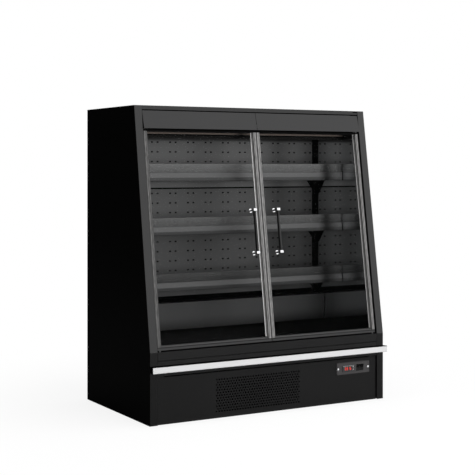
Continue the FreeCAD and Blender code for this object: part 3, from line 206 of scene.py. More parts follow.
def studio_floor(half):
    """A pale floor that keeps the case's soft shadow and fades to the white of the room."""
    corners = [(-half, -half, 0), (half, -half, 0), (half, half, 0), (-half, half, 0)]
    mesh = bpy.data.meshes.new("floor")
    mesh.from_pydata(corners, [], [(0, 1, 2, 3)])
    floor = bpy.data.objects.new("floor", mesh)
    bpy.context.scene.collection.objects.link(floor)
    pale = Finish("floor")
    seen = pale.node("ShaderNodeLightPath", output="Is Camera Ray")
    reach = pale.node("ShaderNodeVectorMath", {"operation": "LENGTH"}, {0: pale.place()}, "Value")
    far = pale.eased(reach, 0.9, 2.0, 0.86, 1)
    wash = pale.node("ShaderNodeEmission", None, {"Color": WHITE, "Strength": 1})
    matt = pale.node("ShaderNodeBsdfDiffuse", None, {"Color": grey(0.02)})
    bright = pale.node("ShaderNodeBsdfDiffuse", None, {"Color": grey(0.95)})
    shown = pale.node("ShaderNodeMixShader", None, {0: far, 1: bright, 2: wash})
    pale.ended(pale.node("ShaderNodeMixShader", None, {0: seen, 1: matt, 2: shown}))
    colour_object(floor, pale)


def soft_light(name, turn, rise, distance, wide, tall, glow):
    """A soft box that aims at the case: turn is round from the front, rise above level, in
    degrees. It doesn't show in what is polished."""
    turn, rise = math.radians(turn), math.radians(rise)
    aim = Vector((0, 0, 0.8))
    level = math.cos(rise)
    way = Vector((math.sin(turn) * level, -math.cos(turn) * level, math.sin(rise)))
    data = bpy.data.lights.new(name, "AREA")
    data.shape = "RECTANGLE"
    data.size = wide
    data.size_y = tall
    data.energy = glow * math.pi * wide * tall
    light = bpy.data.objects.new(name, data)
    light.location = aim + way * distance
    light.rotation_euler = way.to_track_quat("Z", "Y").to_euler()
    light.visible_glossy = False
    bpy.context.scene.collection.objects.link(light)


studio_room()
studio_floor(FLOOR_HALF)
soft_light("key light", turn=7, rise=1, distance=6, wide=2.6, tall=1.5, glow=15.5)
soft_light("top light", turn=30, rise=86, distance=5, wide=4.0, tall=4.0, glow=4.5)


# The side panels: foam-filled steel, in a black powder coat with a fine orange peel. Their narrow
# front edges lean back with the doors. The roof, the tub and the base frame have the same coat.
DUST = (0.12, 0.115, 0.105)


def dress(finish, *names):
    """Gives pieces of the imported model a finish."""
    for name in names:
        for material_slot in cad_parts[name].material_slots:
            material_slot.material = finish.owner


def floor_dust(coat, most):
    """Cloudy dust, up to this share, that thins out over the lowest 0.3 m."""
    return coat.eased(coat.along("Z"), 0.02, 0.3, 1, 0) * coat.noise(14, 4) * most


def powder_coat(name, shade, roughness, peel=0.00006, dust=0.0, gloss=0.5):
    """Sprayed and baked paint: a fine peel, a cloudy gloss, and a little dust near the floor."""
    coat = Finish(name)
    clouds = coat.noise(2.4, 3)
    scuffs = coat.eased(coat.noise(60, 6, (1, 1, 0.25)), 0.62, 0.8)
    dusty = floor_dust(coat, dust)
    rough = roughness + (clouds - 0.5) * 0.1 + scuffs * 0.05 + dusty * 0.3
    return coat.surface(coat.noise(520, 2), peel, Base_Color=coat.blend(dusty, shade, DUST),
                        Roughness=rough, Specular_IOR_Level=gloss)


dress(powder_coat("case black", (0.004, 0.004, 0.0042), 0.33, dust=0.03, gloss=0.62),
      "left_side_panel", "right_side_panel", "roof_panel", "insulated_tub", "base_frame")


# The rear wall and the service panel are galvanised steel, with the flat crystals that zinc grows
# as it sets. The wall's inner side is pure black, painted shade for the dark duct behind the
# panels. The fans' plates and the feet are black.
DEPTH_MIDDLE = 0.3515
CASE_DEPTH = 0.737
BARE_DEPTH = 0.03


def galvanised():
    zinc = Finish("galvanised steel")
    crystal = zinc.node("ShaderNodeTexVoronoi", None, {"Vector": zinc.place(), "Scale": 55},
                        "Color")
    grain = zinc.node("ShaderNodeSeparateColor", None, {"Color": crystal}, 0)
    streak = zinc.noise(9, 4, (1, 1, 0.15))
    bare = zinc.blend(grain * 0.6 + streak * 0.4, (0.34, 0.35, 0.36), (0.52, 0.54, 0.56))
    # In front of its outer 30 mm the wall is pure black: painted shade behind the duct panels.
    outside = zinc.along("Y") > CASE_DEPTH - DEPTH_MIDDLE - BARE_DEPTH
    rough = 0.42 + grain * 0.14 - streak * 0.05
    return zinc.surface(zinc.noise(700, 1), 0.00002, Metallic=1, Roughness=rough,
                        Base_Color=zinc.blend(outside, grey(0.0001), bare))


dress(galvanised(), "rear_wall", "rear_service_panel")
dress(powder_coat("frame black", grey(0.005), 0.5), "condenser_fan_shroud",
      "evaporator_fan_plate", "levelling_feet")


# The fascia: two folded steel panels, screwed on side by side over the doors. Their coat is
# smoother and glossier than the case's.
dress(powder_coat("fascia black", (0.012, 0.012, 0.0125), 0.30, 0.00004), "fascia_left",
      "fascia_right")


# Inside: the perforated duct panels and the shelves are steel in a satin dark grey coat, with a
# black strip over the joint of the two duct panels. Painted shade darkens the coat towards the
# liner, towards the deck and round each hole. A soft upright band of it is a painted shadow, and
# the lower duct panel is painted a darker grey than the upper. The liner, the uprights, the
# brackets and the deck are black.
DUCT_JOINT = 1.0817
DUCT_TOP = 1.338
DUCT_SIDE = 0.625
JOINT_HALF = 0.0037
HOLE_PAIR = DUCT_SIDE / 6
HOLE_SPREAD = 0.016
HOLE_ROW = 0.05
UPPER_ROW = 1.12
LOWER_ROW = 0.556
RIM_ACROSS = 0.0055
RIM_UP = 0.0035
DUCT_BAND = 0.385
COVER_TOP = 0.4995
# Painted shade: the duct darkens under the liner and towards the deck, and the cover towards the
# deck.
LINER_DIM = (DUCT_TOP - 0.017, DUCT_TOP, 1, 0.2)
DECK_DIM = (0.55, 1.05, 0.68, 1)
COVER_DIM = (0.35, 0.44, 0, 1)
DECK_LIGHT = (-0.2, 0.35, 1, 0)


def distance_from(coat, axis, middle):
    """How far a point is from one level of an axis: |x - middle|."""
    return abs(coat.along(axis) - middle)


def shade_band(coat, middle, half, least):
    """Painted shadow along an upright line: the least share of the colour on it, all of it past the
    half width."""
    return coat.eased(distance_from(coat, "X", middle), 0, half, least, 1)


def scaled(shade, factor):
    """A colour made lighter or darker by a factor."""
    return tuple(factor * channel for channel in shade)


def inside_coat(name, shade, black=None, dims=(), band=None):
    """The coat: black where the mask says so, with a painted shadow in the band, and painted shade
    by each of the dims, a smooth step in height."""
    coat = Finish(name)
    height = coat.along("Z")
    clouds = coat.noise(2.4, 3)
    base = coat.blend(clouds, scaled(shade, 0.95), scaled(shade, 1.05))
    for step in dims:
        base = coat.blend(coat.eased(height, *step), grey(0.001), base)
    if band:
        base = coat.blend(shade_band(coat, *band), grey(0.001), base)
    shut = black(coat, height) if black else 0
    return coat.surface(coat.noise(520, 2), 0.00002, Roughness=0.4 + (clouds - 0.5) * 0.1,
                        Metallic=shut, Base_Color=coat.blend(shut, base, grey(0.0005)))


def punched(first_row):
    """The mask of a duct panel: the joint strip, and a black rim 1 mm wide round each hole: painted
    shade that darkens the holes.
    """
    def mask(coat, height):
        strip = distance_from(coat, "Z", DUCT_JOINT) < JOINT_HALF
        beside = (coat.along("X") + DUCT_SIDE).zigzag(HOLE_PAIR / 2)
        off_centre = abs(beside - (HOLE_PAIR / 2 - HOLE_SPREAD))
        above = (height - first_row).zigzag(HOLE_ROW / 2)
        return strip + (off_centre < RIM_ACROSS) * (above < RIM_UP) * (1 - strip)
    return mask


def above_cover(coat, height):
    """The mask of the evaporator cover: its top edge, painted black as shade."""
    return height > COVER_TOP


def deck_coat():
    """The deck is black, with painted light making its left half a little paler."""
    coat = Finish("deck black")
    reach = coat.eased(coat.along("X"), *DECK_LIGHT)
    base = coat.blend(reach, grey(0.0008), (0.006, 0.006, 0.0061))
    return coat.surface(coat.noise(520, 2), 0.00003, Base_Color=base,
                        Roughness=0.5 + coat.noise(3, 3) * 0.1, Specular_IOR_Level=0)


dress(inside_coat("upper duct grey", (0.106, 0.1065, 0.107), punched(UPPER_ROW), [LINER_DIM],
                  (DUCT_BAND, 0.11, 0.6)), "duct_panel_upper")
# The lower panel's darker grey is painted shade.
dress(inside_coat("lower duct grey", (0.071, 0.0715, 0.072), punched(LOWER_ROW), [DECK_DIM],
                  (DUCT_BAND, 0.13, 0.6)), "duct_panel_lower")
dress(inside_coat("shelf grey", (0.05, 0.0505, 0.051)), "top_shelf", "middle_shelf",
      "bottom_shelf")
# The cover darkens to black towards the deck and on its top edge: painted shade.
cover_grey = inside_coat("cover grey", (0.038, 0.0385, 0.039), above_cover, [COVER_DIM])
dress(cover_grey, "evaporator_cover")
dress(powder_coat("shelving black", grey(0.0015), 0.5, 0.00003, gloss=0), "shelf_uprights",
      "shelf_brackets", "canopy_liner")
dress(deck_coat(), "deck_tray")


# The strip lamp is seated on the liner behind the fascia. Its cover is extruded in frosted plastic
# with faint ribs.
def frosted_cover():
    cover = Finish("lamp cover")
    ribs = cover.node("ShaderNodeTexWave", None, {"Vector": cover.place(), "Scale": 90})
    base = cover.blend(ribs, (0.80, 0.82, 0.83), (0.9, 0.92, 0.93))
    return cover.surface(ribs, 0.0002, Base_Color=base, Roughness=0.3 + ribs * 0.1)


dress(frosted_cover(), "canopy_lamp")


# The air grille in the ceiling: a moulded honeycomb, brown grey and dark grey at its foot, with a
# band of painted shade, black, between the two.
GRILLE_FOOT = 1.347
GRILLE_SHADE = 1.3545


def grille_plastic():
    plastic = Finish("grille plastic")
    height = plastic.along("Z")
    tint = plastic.noise(180, 2, (1, 0.1, 0.1))
    comb = plastic.blend(tint, (0.13, 0.104, 0.09), (0.16, 0.13, 0.113))
    # Below the shade line the comb is painted black as shade, and dark grey lower down at its foot.
    foot = plastic.blend(height > GRILLE_FOOT, (0.026, 0.025, 0.024), grey(0.001))
    return plastic.surface(plastic.noise(900, 1), 0.00003, Roughness=0.55 + tint * 0.1,
                           Base_Color=plastic.blend(height > GRILLE_SHADE, foot, comb))


dress(grille_plastic(), "air_discharge_grille")


# The side walls inside are lined with silvered glass, one sheet on each, glued on. It is a little
# cloudy low down from cleaning.
WIPED = (0.36, 0.7, 1, 0)


def silvered_glass():
    mirror = Finish("silvered glass")
    low = mirror.eased(mirror.along("Z"), *WIPED)
    wipe = mirror.noise(7, 5, (1, 1, 0.3)) * low
    base = mirror.blend(wipe, (0.86, 0.87, 0.875), (0.7, 0.71, 0.715))
    return mirror.surface(Base_Color=base, Metallic=1, Roughness=0.03 + wipe * 0.06)


dress(silvered_glass(), "side_mirrors")


# The price rails are grey plastic extrusions along the shelf fronts, painted darker as shade on the
# part that tucks under and on both edges. The risers are clear acrylic strips that stand on them
# and keep the goods back. Both have painted light, paler with height and near their ends beside
# the mirrors, and a painted shadow in a soft band near their right ends.
RAIL_FEET = (0.5785, 0.854, 1.121)
RAIL_TUCK = 0.0185
RAIL_TALL = 0.0435
RAIL_SLACK = 0.001
RAIL_LIP = 0.004
RAIL_CREST = 0.0025
RAIL_BAND = 0.519
RAIL_BAND_HALF = 0.055
# How the rails' painted light rises with height.
RAIL_RISE = (0.6, 1.3, 0.54, 1.06)
RISER_FOOT = 0.585
RISER_TOP = 2.2 * RAIL_TALL
RISER_LIFT = 23
END_LIGHT = (0.555, 0.622)


def between(value, low, high):
    """1 where the value lies between two limits, and 0 elsewhere."""
    return (value > low) * (value < high)


def end_light(plastic, most):
    """Painted light: the finish is paler over the last 65 mm beside the mirrors, by up to this
    factor.
    """
    return plastic.eased(abs(plastic.along("X")), *END_LIGHT, 1, most)


def rail_plastic():
    plastic = Finish("rail plastic")
    height = plastic.along("Z")
    streak = plastic.noise(30, 3, (0.04, 1, 1))
    tucked = sum(between(height, foot - RAIL_SLACK, foot + RAIL_TUCK) for foot in RAIL_FEET)
    edges = sum(between(height, foot - RAIL_SLACK, foot + RAIL_LIP) +
                between(height, foot + RAIL_TALL - RAIL_CREST, foot + RAIL_TALL + RAIL_SLACK)
                for foot in RAIL_FEET)
    # Painted light and shade: paler with height, darker where the rail tucks under and at its
    # edges.
    share = plastic.eased(height, *RAIL_RISE) * (1 - tucked * 0.27) * (1 - edges * 0.6)
    share = share * shade_band(plastic, RAIL_BAND, RAIL_BAND_HALF, 0.12)
    share = share * end_light(plastic, 3.4) * 0.3
    pale = plastic.blend(streak, (0.28, 0.283, 0.286), (0.33, 0.333, 0.336))
    return plastic.surface(streak, 0.00001, Base_Color=plastic.blend(share, grey(0.003), pale),
                           Roughness=0.35 + streak * 0.06)


def clear_acrylic():
    """Painted light: each riser is darkest where it leaves its rail, and paler towards its top."""
    acrylic = Finish("clear acrylic")
    haze = acrylic.noise(11, 4)
    height = acrylic.along("Z")
    lift = sum(between(height, foot + RAIL_TALL, foot + RISER_TOP) * (height - (foot + RAIL_TALL))
               for foot in RAIL_FEET) * RISER_LIFT
    share = ((height - RISER_FOOT) * 0.765 + 0.155) * (0.78 + lift * 0.44)
    share = share * end_light(acrylic, 2.5)
    share = share * shade_band(acrylic, RAIL_BAND, RAIL_BAND_HALF, 0.22)
    pale = acrylic.blend(haze, (0.235, 0.238, 0.238), (0.255, 0.258, 0.258))
    return acrylic.surface(Base_Color=acrylic.blend(share, grey(0.002), pale),
                           Roughness=0.2 + haze * 0.08, Alpha=0.5 + haze * 0.06)


dress(rail_plastic(), "price_rails")
dress(clear_acrylic(), "shelf_risers")


# The evaporator is bare aluminium fins, and the condenser is painted black. The fans and the power
# inlet are moulded in black plastic.
def bare_fins():
    fins = Finish("bare aluminium fins")
    tarnish = fins.noise(25, 5)
    base = fins.blend(tarnish, (0.55, 0.56, 0.57), (0.42, 0.42, 0.41))
    return fins.surface(fins.noise(300, 2), 0.00004, Base_Color=base, Metallic=1,
                        Roughness=0.38 + tarnish * 0.15)


def moulded(name, shade, roughness):
    """Injection-moulded plastic with a fine spark-eroded texture."""
    plastic = Finish(name)
    wear = plastic.noise(35, 4)
    return plastic.surface(plastic.noise(1400, 2), 0.00004, Roughness=roughness + wear * 0.08,
                           Base_Color=plastic.blend(wear, shade, scaled(shade, 1.35)))


dress(bare_fins(), "evaporator_coil")
dress(powder_coat("coil black", grey(0.006), 0.55, 0.00003), "condenser_coil")
black_plastic = moulded("black plastic", (0.016, 0.016, 0.0165), 0.45)
dress(black_plastic, "condenser_fan", "evaporator_fan_left", "evaporator_fan_right", "power_inlet")


# The compressor: a pressed and welded steel shell that stands on the base frame, in gloss black
# enamel with dust on its shoulders.
def enamel():
    coat = Finish("compressor enamel")
    dust = coat.eased(coat.noise(40, 5), 0.45, 0.75) * coat.eased(coat.along("Z"), 0.1, 0.2)
    base = coat.blend(dust * 0.5, grey(0.008), (0.1, 0.09, 0.08))
    return coat.surface(coat.noise(240, 2), 0.0001, Base_Color=base, Roughness=0.22 + dust * 0.3)


dress(enamel(), "compressor")


# The sill under the doors and the kick panel with its round-hole grille, in the case's black. A
# dark line follows the seam between the sill's two folds.
SILL_SEAM = 0.296
SEAM_HALF = 0.0022


def seamed_coat():
    coat = Finish("sill black")
    seam = distance_from(coat, "Z", SILL_SEAM) < SEAM_HALF
    base = coat.blend(floor_dust(coat, 0.02), (0.0075, 0.0075, 0.0077), DUST)
    return coat.surface(coat.noise(520, 2), 0.00005, Metallic=seam,
                        Base_Color=coat.blend(seam, base, grey(0.0005)),
                        Roughness=0.3 + coat.noise(2.4, 3) * 0.12)


dress(seamed_coat(), "front_sill")
dress(powder_coat("kick black", (0.006, 0.006, 0.0062), 0.36, 0.00005, dust=0.02), "kick_panel")


# The bumper: a light grey extrusion that takes the knocks of trolleys, with fine scuffs, pushed
# onto a black carrier. Its top few millimetres are painted black: painted shade from the gap
# above it.
BUMPER_SHADE_LINE = 0.2734


def bumper_skin():
    skin = Finish("bumper grey")
    # Above this line the face is painted black: painted shade from the gap over the bumper.
    painted_shade_top = skin.along("Z") > BUMPER_SHADE_LINE
    scuff = skin.eased(skin.noise(50, 6, (0.15, 1, 1)), 0.6, 0.85)
    face = skin.blend(scuff * 0.4, (0.76, 0.76, 0.765), (0.64, 0.64, 0.645))
    return skin.surface(skin.noise(600, 2), 0.00004, Metallic=painted_shade_top, Roughness=0.34 + scuff * 0.15,
                        Base_Color=skin.blend(painted_shade_top, face, grey(0.0015)))


dress(bumper_skin(), "bumper_rail")
dress(powder_coat("carrier black", grey(0.0015), 0.5, gloss=0), "bumper_carrier")


# The control panel: a dark grey bezel with two screws painted bright as a highlight, a thermostat
# with four keys, and two rocker switches, all moulded plastic apart from the zinc-plated screws.
# The screws are drawn near white and not as metal: a painted highlight for the zinc's glint.
def zinc_painted_glint():
    zinc = Finish("bright zinc")
    frost = zinc.noise(700, 3)
    base = zinc.blend(frost, (0.88, 0.89, 0.9), (0.96, 0.97, 0.98))
    return zinc.surface(frost, 0.00003, Base_Color=base, Roughness=0.3 + frost * 0.1)


dress(moulded("bezel grey", (0.048, 0.046, 0.047), 0.42), "control_bezel")
dress(moulded("thermostat grey", (0.04, 0.041, 0.042), 0.3), "thermostat")
dress(moulded("key grey", (0.05, 0.051, 0.052), 0.35), "button_upper_left", "button_lower_left",
      "button_upper_right", "button_lower_right")
dress(moulded("rocker black", grey(0.004), 0.35), "rocker_lights", "rocker_power")
dress(zinc_painted_glint(), "control_screws")


# The doors: drawn silver stiles with bevelled edges and painted shade, darker rails with the upper
# ones painted black as shade, a black gasket and a black grip on chrome mounts, hung on steel
# pivots. Across the case, each door runs from DOOR_GAP beside the middle to DOOR_OUTER.
DOOR_OUTER = 0.621
DOOR_GAP = 0.0015
EDGE_SHADE = (0.0012, 0.004)
INNER_SHADE = (0.009, 0.016)
RAIL_LEDGE = 0.3525
DOOR_WAIST = 1.2


def stile_metal():
    """Drawn silver with soft streaks, and painted shade: darker close to each door's edges, from
    about 9 mm in from them, and on the whole of the left door's outer stile.
    """
    metal = Finish("door frame silver")
    across = metal.along("X")
    beside = abs(across)
    outer = beside > DOOR_OUTER / 2
    inward = outer * (DOOR_OUTER - beside) + (1 - outer) * (beside - DOOR_GAP)
    lines = metal.noise(230, 3, (1, 1, 0.006))
    left_end = across < -DOOR_OUTER / 2
    # Painted shade: past the inner shade, on the left door's outer stile, and near the edges.
    share = metal.eased(inward, *INNER_SHADE, 0.95, 0.78) * (1 - left_end * 0.52)
    share = share * metal.eased(inward, *EDGE_SHADE, 0.45, 1) * metal.eased(lines, 0.3, 0.7, 0.6, 1.25)
    base = metal.blend(share, grey(0.01), (0.29, 0.287, 0.284))
    return metal.surface(lines, 0.00002, Base_Color=base, Metallic=1, Roughness=0.3 + lines * 0.08)


def rail_metal():
    """The lower rails are dark grey with fine lines along them, paler up to the ledge, and the
    upper ones painted black, painted shade under the fascia."""
    metal = Finish("door rail grey")
    lines = metal.noise(900, 2, (0.01, 1, 1))
    height = metal.along("Z")
    base = metal.blend(lines, grey(0.055), (0.08, 0.08, 0.081))
    base = metal.blend(height > RAIL_LEDGE, base, (0.03, 0.03, 0.0305))
    # Above the waist the rails are painted black: painted shade under the fascia.
    base = metal.blend(height > DOOR_WAIST, base, grey(0.004))
    return metal.surface(lines, 0.00002, Base_Color=base, Metallic=1,
                         Roughness=0.35 + lines * 0.08)


def pivot_steel():
    """Drawn metal with fine lines along its length."""
    metal = Finish("pivot steel")
    lines = metal.noise(900, 2, (1, 1, 0.01))
    base = metal.blend(lines, grey(0.12), grey(0.16))
    return metal.surface(lines, 0.00002, Base_Color=base, Metallic=1, Roughness=0.3 + lines * 0.08)


def polished_chrome():
    chrome = Finish("polished chrome")
    haze = chrome.noise(90, 4)
    base = chrome.blend(haze, (0.86, 0.87, 0.88), (0.8, 0.8, 0.81))
    return chrome.surface(Base_Color=base, Metallic=1, Roughness=0.08 + haze * 0.05)


dress(stile_metal(), "left_door_stiles", "right_door_stiles")
dress(rail_metal(), "left_door_rails", "right_door_rails")
dress(pivot_steel(), "door_pivots")
dress(moulded("seal black", grey(0.008), 0.6), "left_door_gasket", "right_door_gasket")
dress(moulded("grip black", grey(0.006), 0.3), "left_handle_bar", "right_handle_bar")
dress(polished_chrome(), "left_handle_mounts", "right_handle_mounts")


# The glazing: a sealed double pane in each door, with a lacquered spacer in it and a bead behind
# it, down both sides and along the foot. A door is drawn in its own leaning plane: across, deep,
# up. Bounced light passes the panes as if they were open, so the inside is lit evenly.
FRONT_RUN, FRONT_RISE = 0.173, 1.148
LEAN = math.atan(FRONT_RUN / FRONT_RISE)
KNEE = 0.337
DOOR_IN = np.array([0, math.cos(LEAN), -math.sin(LEAN)])
DOOR_UP = np.array([0, math.sin(LEAN), math.cos(LEAN)])
ACROSS = np.array([1.0, 0, 0])
PANE_MIDDLE = 0.31125
PANE_HALF = 0.29825
PANE_DEEP = 0.017
PANE_THICK = 0.0138
PANE_ENDS = (0.018, 1.03925)
SHARP = 0.0003
RING_INNER = 0.0185
RING_OUTER = 0.604
RING_FOOT = 0.022
RING_TOP = 1.0395
BEAD_DEEP = 0.0213
FOOT_TOP = 0.366
SPACER_PROFILE = [(-0.004, -0.0024), (0.0042, -0.0024), (0.005, -0.0016), (0.005, 0.0016),
                  (0.0042, 0.0024), (-0.004, 0.0024)]
BEAD_PROFILE = [(0.0028, -0.0008), (0.0036, -0.0014), (0.0078, -0.0014), (0.0086, -0.0008),
                (0.0086, 0.0012), (0.0028, 0.0012)]
CREASE = math.radians(35)


def on_door(across, deep, up):
    """The place of a point of the closed door's plane."""
    return ACROSS * across + DOOR_IN * deep + DOOR_UP * up + np.array([0, -DEPTH_MIDDLE, KNEE])


def rounded(wide, tall, radius, steps=4):
    """A rectangle with round corners: centre of corner k + r (cos w, sin w), for w from k pi/2 to
    (k + 1) pi/2."""
    quarter = np.repeat(np.arange(4), steps) * np.pi / 2
    turn = quarter + np.tile(np.linspace(0, np.pi / 2, steps), 4)
    corner = quarter + np.pi / 4
    return np.stack([np.sign(np.cos(corner)) * (wide / 2 - radius) + radius * np.cos(turn),
                     np.sign(np.sin(corner)) * (tall / 2 - radius) + radius * np.sin(turn)], axis=1)


def carried(outline, path, first, second):
    """P(s, t) = path(s) + a(t) first(s) + b(t) second(s) for the closed outline (a(t), b(t))."""
    path = np.asarray(path, float)[:, None]
    first = np.broadcast_to(first, (len(path), 3))[:, None]
    second = np.broadcast_to(second, (len(path), 3))[:, None]
    a, b = np.asarray(outline, float).T[:, None, :, None]
    return path + a * first + b * second


def made_piece(name, grids, finish):
    """One piece from grids of points P(s, t) that close in t and end in caps along s."""
    spots, faces, count = [], [], 0
    for grid in grids:
        rows, turns = grid.shape[:2]
        index = count + np.arange(rows * turns).reshape(rows, turns)
        beside = np.roll(index, -1, axis=1)
        faces += [index[0].tolist(), index[-1, ::-1].tolist()]
        faces += np.stack([index[:-1], index[1:], beside[1:], beside[:-1]],
                          axis=-1).reshape(-1, 4).tolist()
        spots.append(grid.reshape(-1, 3))
        count += rows * turns
    mesh = bpy.data.meshes.new(name)
    mesh.from_pydata(np.concatenate(spots).tolist(), [], faces)
    tool = bmesh.new()
    tool.from_mesh(mesh)
    bmesh.ops.recalc_face_normals(tool, faces=tool.faces)
    tool.to_mesh(mesh)
    tool.free()
    mesh.shade_smooth()
    mesh.set_sharp_from_angle(angle=CREASE)
    thing = bpy.data.objects.new(name, mesh)
    bpy.context.scene.collection.objects.link(thing)
    colour_object(thing, finish)
    return thing


def door_ring(way, profile, deep):
    """A profile carried down one side of a door's frame, along its foot and up the other side."""
    corners = [(RING_INNER, RING_TOP, 1, 0), (RING_INNER, RING_FOOT, 1, 1),
               (RING_OUTER, RING_FOOT, -1, 1), (RING_OUTER, RING_TOP, -1, 0)]
    path = [on_door(way * across, deep, up) for across, up, _, _ in corners]
    inward = [ACROSS * way * right + DOOR_UP * upward for _, _, right, upward in corners]
    return carried(profile, path, inward, DOOR_IN)


def pane_glass():
    glass = Finish("door glass")
    film = glass.noise(5, 4)
    base = glass.blend(film, (0.02, 0.024, 0.023), (0.03, 0.034, 0.033))
    return glass.surface(Base_Color=base, Roughness=0.03 + film * 0.03, Alpha=0.009 + film * 0.004)


def spacer_coat(name, bright, dull):
    """Silver lacquer, with painted light and shade: bright on the right side of each door, and dull
    along the foot and on the left."""
    coat = Finish(name)
    lines = coat.noise(700, 2, (1, 1, 0.02))
    across = coat.along("X")
    right_side = between(across, -PANE_MIDDLE, 0) + (across > PANE_MIDDLE) * 0.5
    base = coat.blend(right_side * (coat.along("Z") > FOOT_TOP), dull,
                      coat.blend(lines, scaled(bright, 0.8), bright))
    return coat.surface(lines, 0.00002, Base_Color=base, Roughness=0.35 + lines * 0.1)


glass_finish = pane_glass()
# Each ring has a lit and a shaded colour: painted light and shade.
spacer_finish = spacer_coat("spacer grey", (0.16, 0.158, 0.155), grey(0.05))
bead_finish = spacer_coat("bead silver", (0.97, 0.96, 0.95), grey(0.012))
for side, way in (("left", -1), ("right", 1)):
    upright = [on_door(way * PANE_MIDDLE, PANE_DEEP, up) for up in PANE_ENDS]
    sheet = carried(rounded(2 * PANE_HALF, PANE_THICK, SHARP, 2), upright, ACROSS, DOOR_IN)
    glazing = made_piece(f"{side}_glazing", [sheet], glass_finish)
    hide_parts(f"{side}_door_glass")
    glazing.visible_diffuse = glazing.visible_glossy = False
    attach(glazing, f"{side}_door")
    spacer = made_piece(f"{side}_door_spacer", [door_ring(way, SPACER_PROFILE, PANE_DEEP)],
                        spacer_finish)
    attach(spacer, f"{side}_door")
    bead = made_piece(f"{side}_door_bead", [door_ring(way, BEAD_PROFILE, BEAD_DEEP)], bead_finish)
    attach(bead, f"{side}_door")


# The thermostat's face: a smoked window over three red figures 15 mm tall, a row of plain grey
# marks above it, and a raised mark on each key. Places on the control panel are counted from its
# middle: across, up, and how far a plate stands out.
CONTROL = np.array([0.479, 0.008 - DEPTH_MIDDLE, 0.1725])
UPWARD = np.array([0, 0, 1.0])
OUTWARD = np.array([0, -1.0, 0])
THERMOSTAT = -0.0305
WINDOW_OUT = 0.0066
FIGURE_OUT = 0.0068
FIGURE_DROP = 0.001
FIGURE_TALL = 0.015
SEGMENT = 0.0026
SEGMENT_SHARE = 0.96
SEGMENTS = {"0": "abcdef", "3": "abcdg", "5": "acdfg"}
MARK_PITCH, MARK_UP, MARK_OUT = 0.0114, 0.0122, 0.0075
KEY_ACROSS, KEY_UP, KEY_OUT = 0.0276, 0.0062, 0.0087
INK = 0.0001


def plate(outline, across, up, out, thick):
    """A flat shape on the control panel: its outline, carried outwards by its thickness."""
    spot = CONTROL + ACROSS * across + UPWARD * up
    path = [spot + OUTWARD * out, spot + OUTWARD * (out + thick)]
    return carried(outline, path, ACROSS, UPWARD)


def bar_outline(long, thick, upright):
    """A bar with pointed ends, as the segments of a figure have."""
    half = long / 2
    tip = thick / 2
    spots = np.array([(-half, 0), (tip - half, tip), (half - tip, tip), (half, 0),
                      (half - tip, -tip), (tip - half, -tip)])
    return spots[:, ::-1] if upright else spots


def figure(mark, across, wide):
    """The lit segments of one figure: a, g and d lie across it, the others stand at its sides."""
    side, half = wide / 2 - SEGMENT / 2, FIGURE_TALL / 2 - SEGMENT / 2
    spots = {"a": (0, half, False), "g": (0, 0, False), "d": (0, -half, False),
             "f": (-side, half / 2, True), "b": (side, half / 2, True),
             "e": (-side, -half / 2, True), "c": (side, -half / 2, True)}
    lying, standing = (bar_outline(SEGMENT_SHARE * long, SEGMENT, upright)
                       for long, upright in ((2 * side, False), (half, True)))
    return [plate(standing if upright else lying, across + x, z - FIGURE_DROP, FIGURE_OUT, 0.0003)
            for x, z, upright in (spots[letter] for letter in SEGMENTS[mark])]


def ring_outline(radius, count=24):
    """A circle: r (cos t, sin t)."""
    turn = np.linspace(0, 2 * np.pi, count, endpoint=False)
    return radius * np.stack([np.cos(turn), np.sin(turn)], axis=1)


def lit(name, colour, strength):
    """A surface that gives off its own light, a little uneven as a diode's is."""
    glow = Finish(name)
    cloud = glow.noise(350, 2)
    return glow.surface(Base_Color=glow.blend(cloud, (0.2, 0.01, 0.01), (0.3, 0.02, 0.02)),
                        Roughness=0.4 + cloud * 0.1, Emission_Color=colour,
                        Emission_Strength=strength)


def printed(name, shade):
    """Pad-printed ink, slightly patchy."""
    ink = Finish(name)
    patch = ink.noise(900, 3)
    return ink.surface(patch, 0.00002, Base_Color=ink.blend(patch, scaled(shade, 0.85), shade),
                       Roughness=0.45 + patch * 0.1)


window = made_piece("display_window",
                    [plate(rounded(0.0436, 0.0176, 0.001), THERMOSTAT, 0, WINDOW_OUT, 0.0002)],
                    moulded("smoked window", (0.034, 0.03, 0.03), 0.25))
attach(window, "case")

digits = []
for mark, across, wide in (("0", -0.0176, 0.0086), ("3", -0.0075, 0.0086), ("5", 0.0108, 0.0118)):
    digits += figure(mark, THERMOSTAT + across, wide)
figures = made_piece("display_figures", digits, lit("red diodes", (1, 0.08, 0.06), 0.75))
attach(figures, "case")

marks = [plate(rounded(0.0098, 0.0032, 0.0006), THERMOSTAT + MARK_PITCH * step, MARK_UP, MARK_OUT,
               INK) for step in (-2.5, -1.5, -0.5, 0.5, 1.5, 2.5)]
legend = made_piece("thermostat_marks", marks, printed("grey ink", (0.3, 0.305, 0.305)))
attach(legend, "case")

white_ink = printed("white ink", (0.85, 0.86, 0.86))
dull_ink = printed("dull ink", grey(0.2))
arrow = np.array([(-0.0034, -0.0022), (0.0034, -0.0022), (0, 0.003)])
key_marks = {"button_upper_right": (1, 1, arrow),
             "button_lower_right": (1, -1, arrow * (1, -1)),
             "button_upper_left": (-1, 1, ring_outline(0.0018)),
             "button_lower_left": (-1, -1, rounded(0.0044, 0.0014, 0.0004))}
for name, (right, upper, outline) in key_marks.items():
    raised = plate(outline, THERMOSTAT + right * KEY_ACROSS, upper * KEY_UP, KEY_OUT, INK)
    mark = made_piece(f"{name}_mark", [raised], white_ink if right > 0 else dull_ink)
    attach(mark, name)


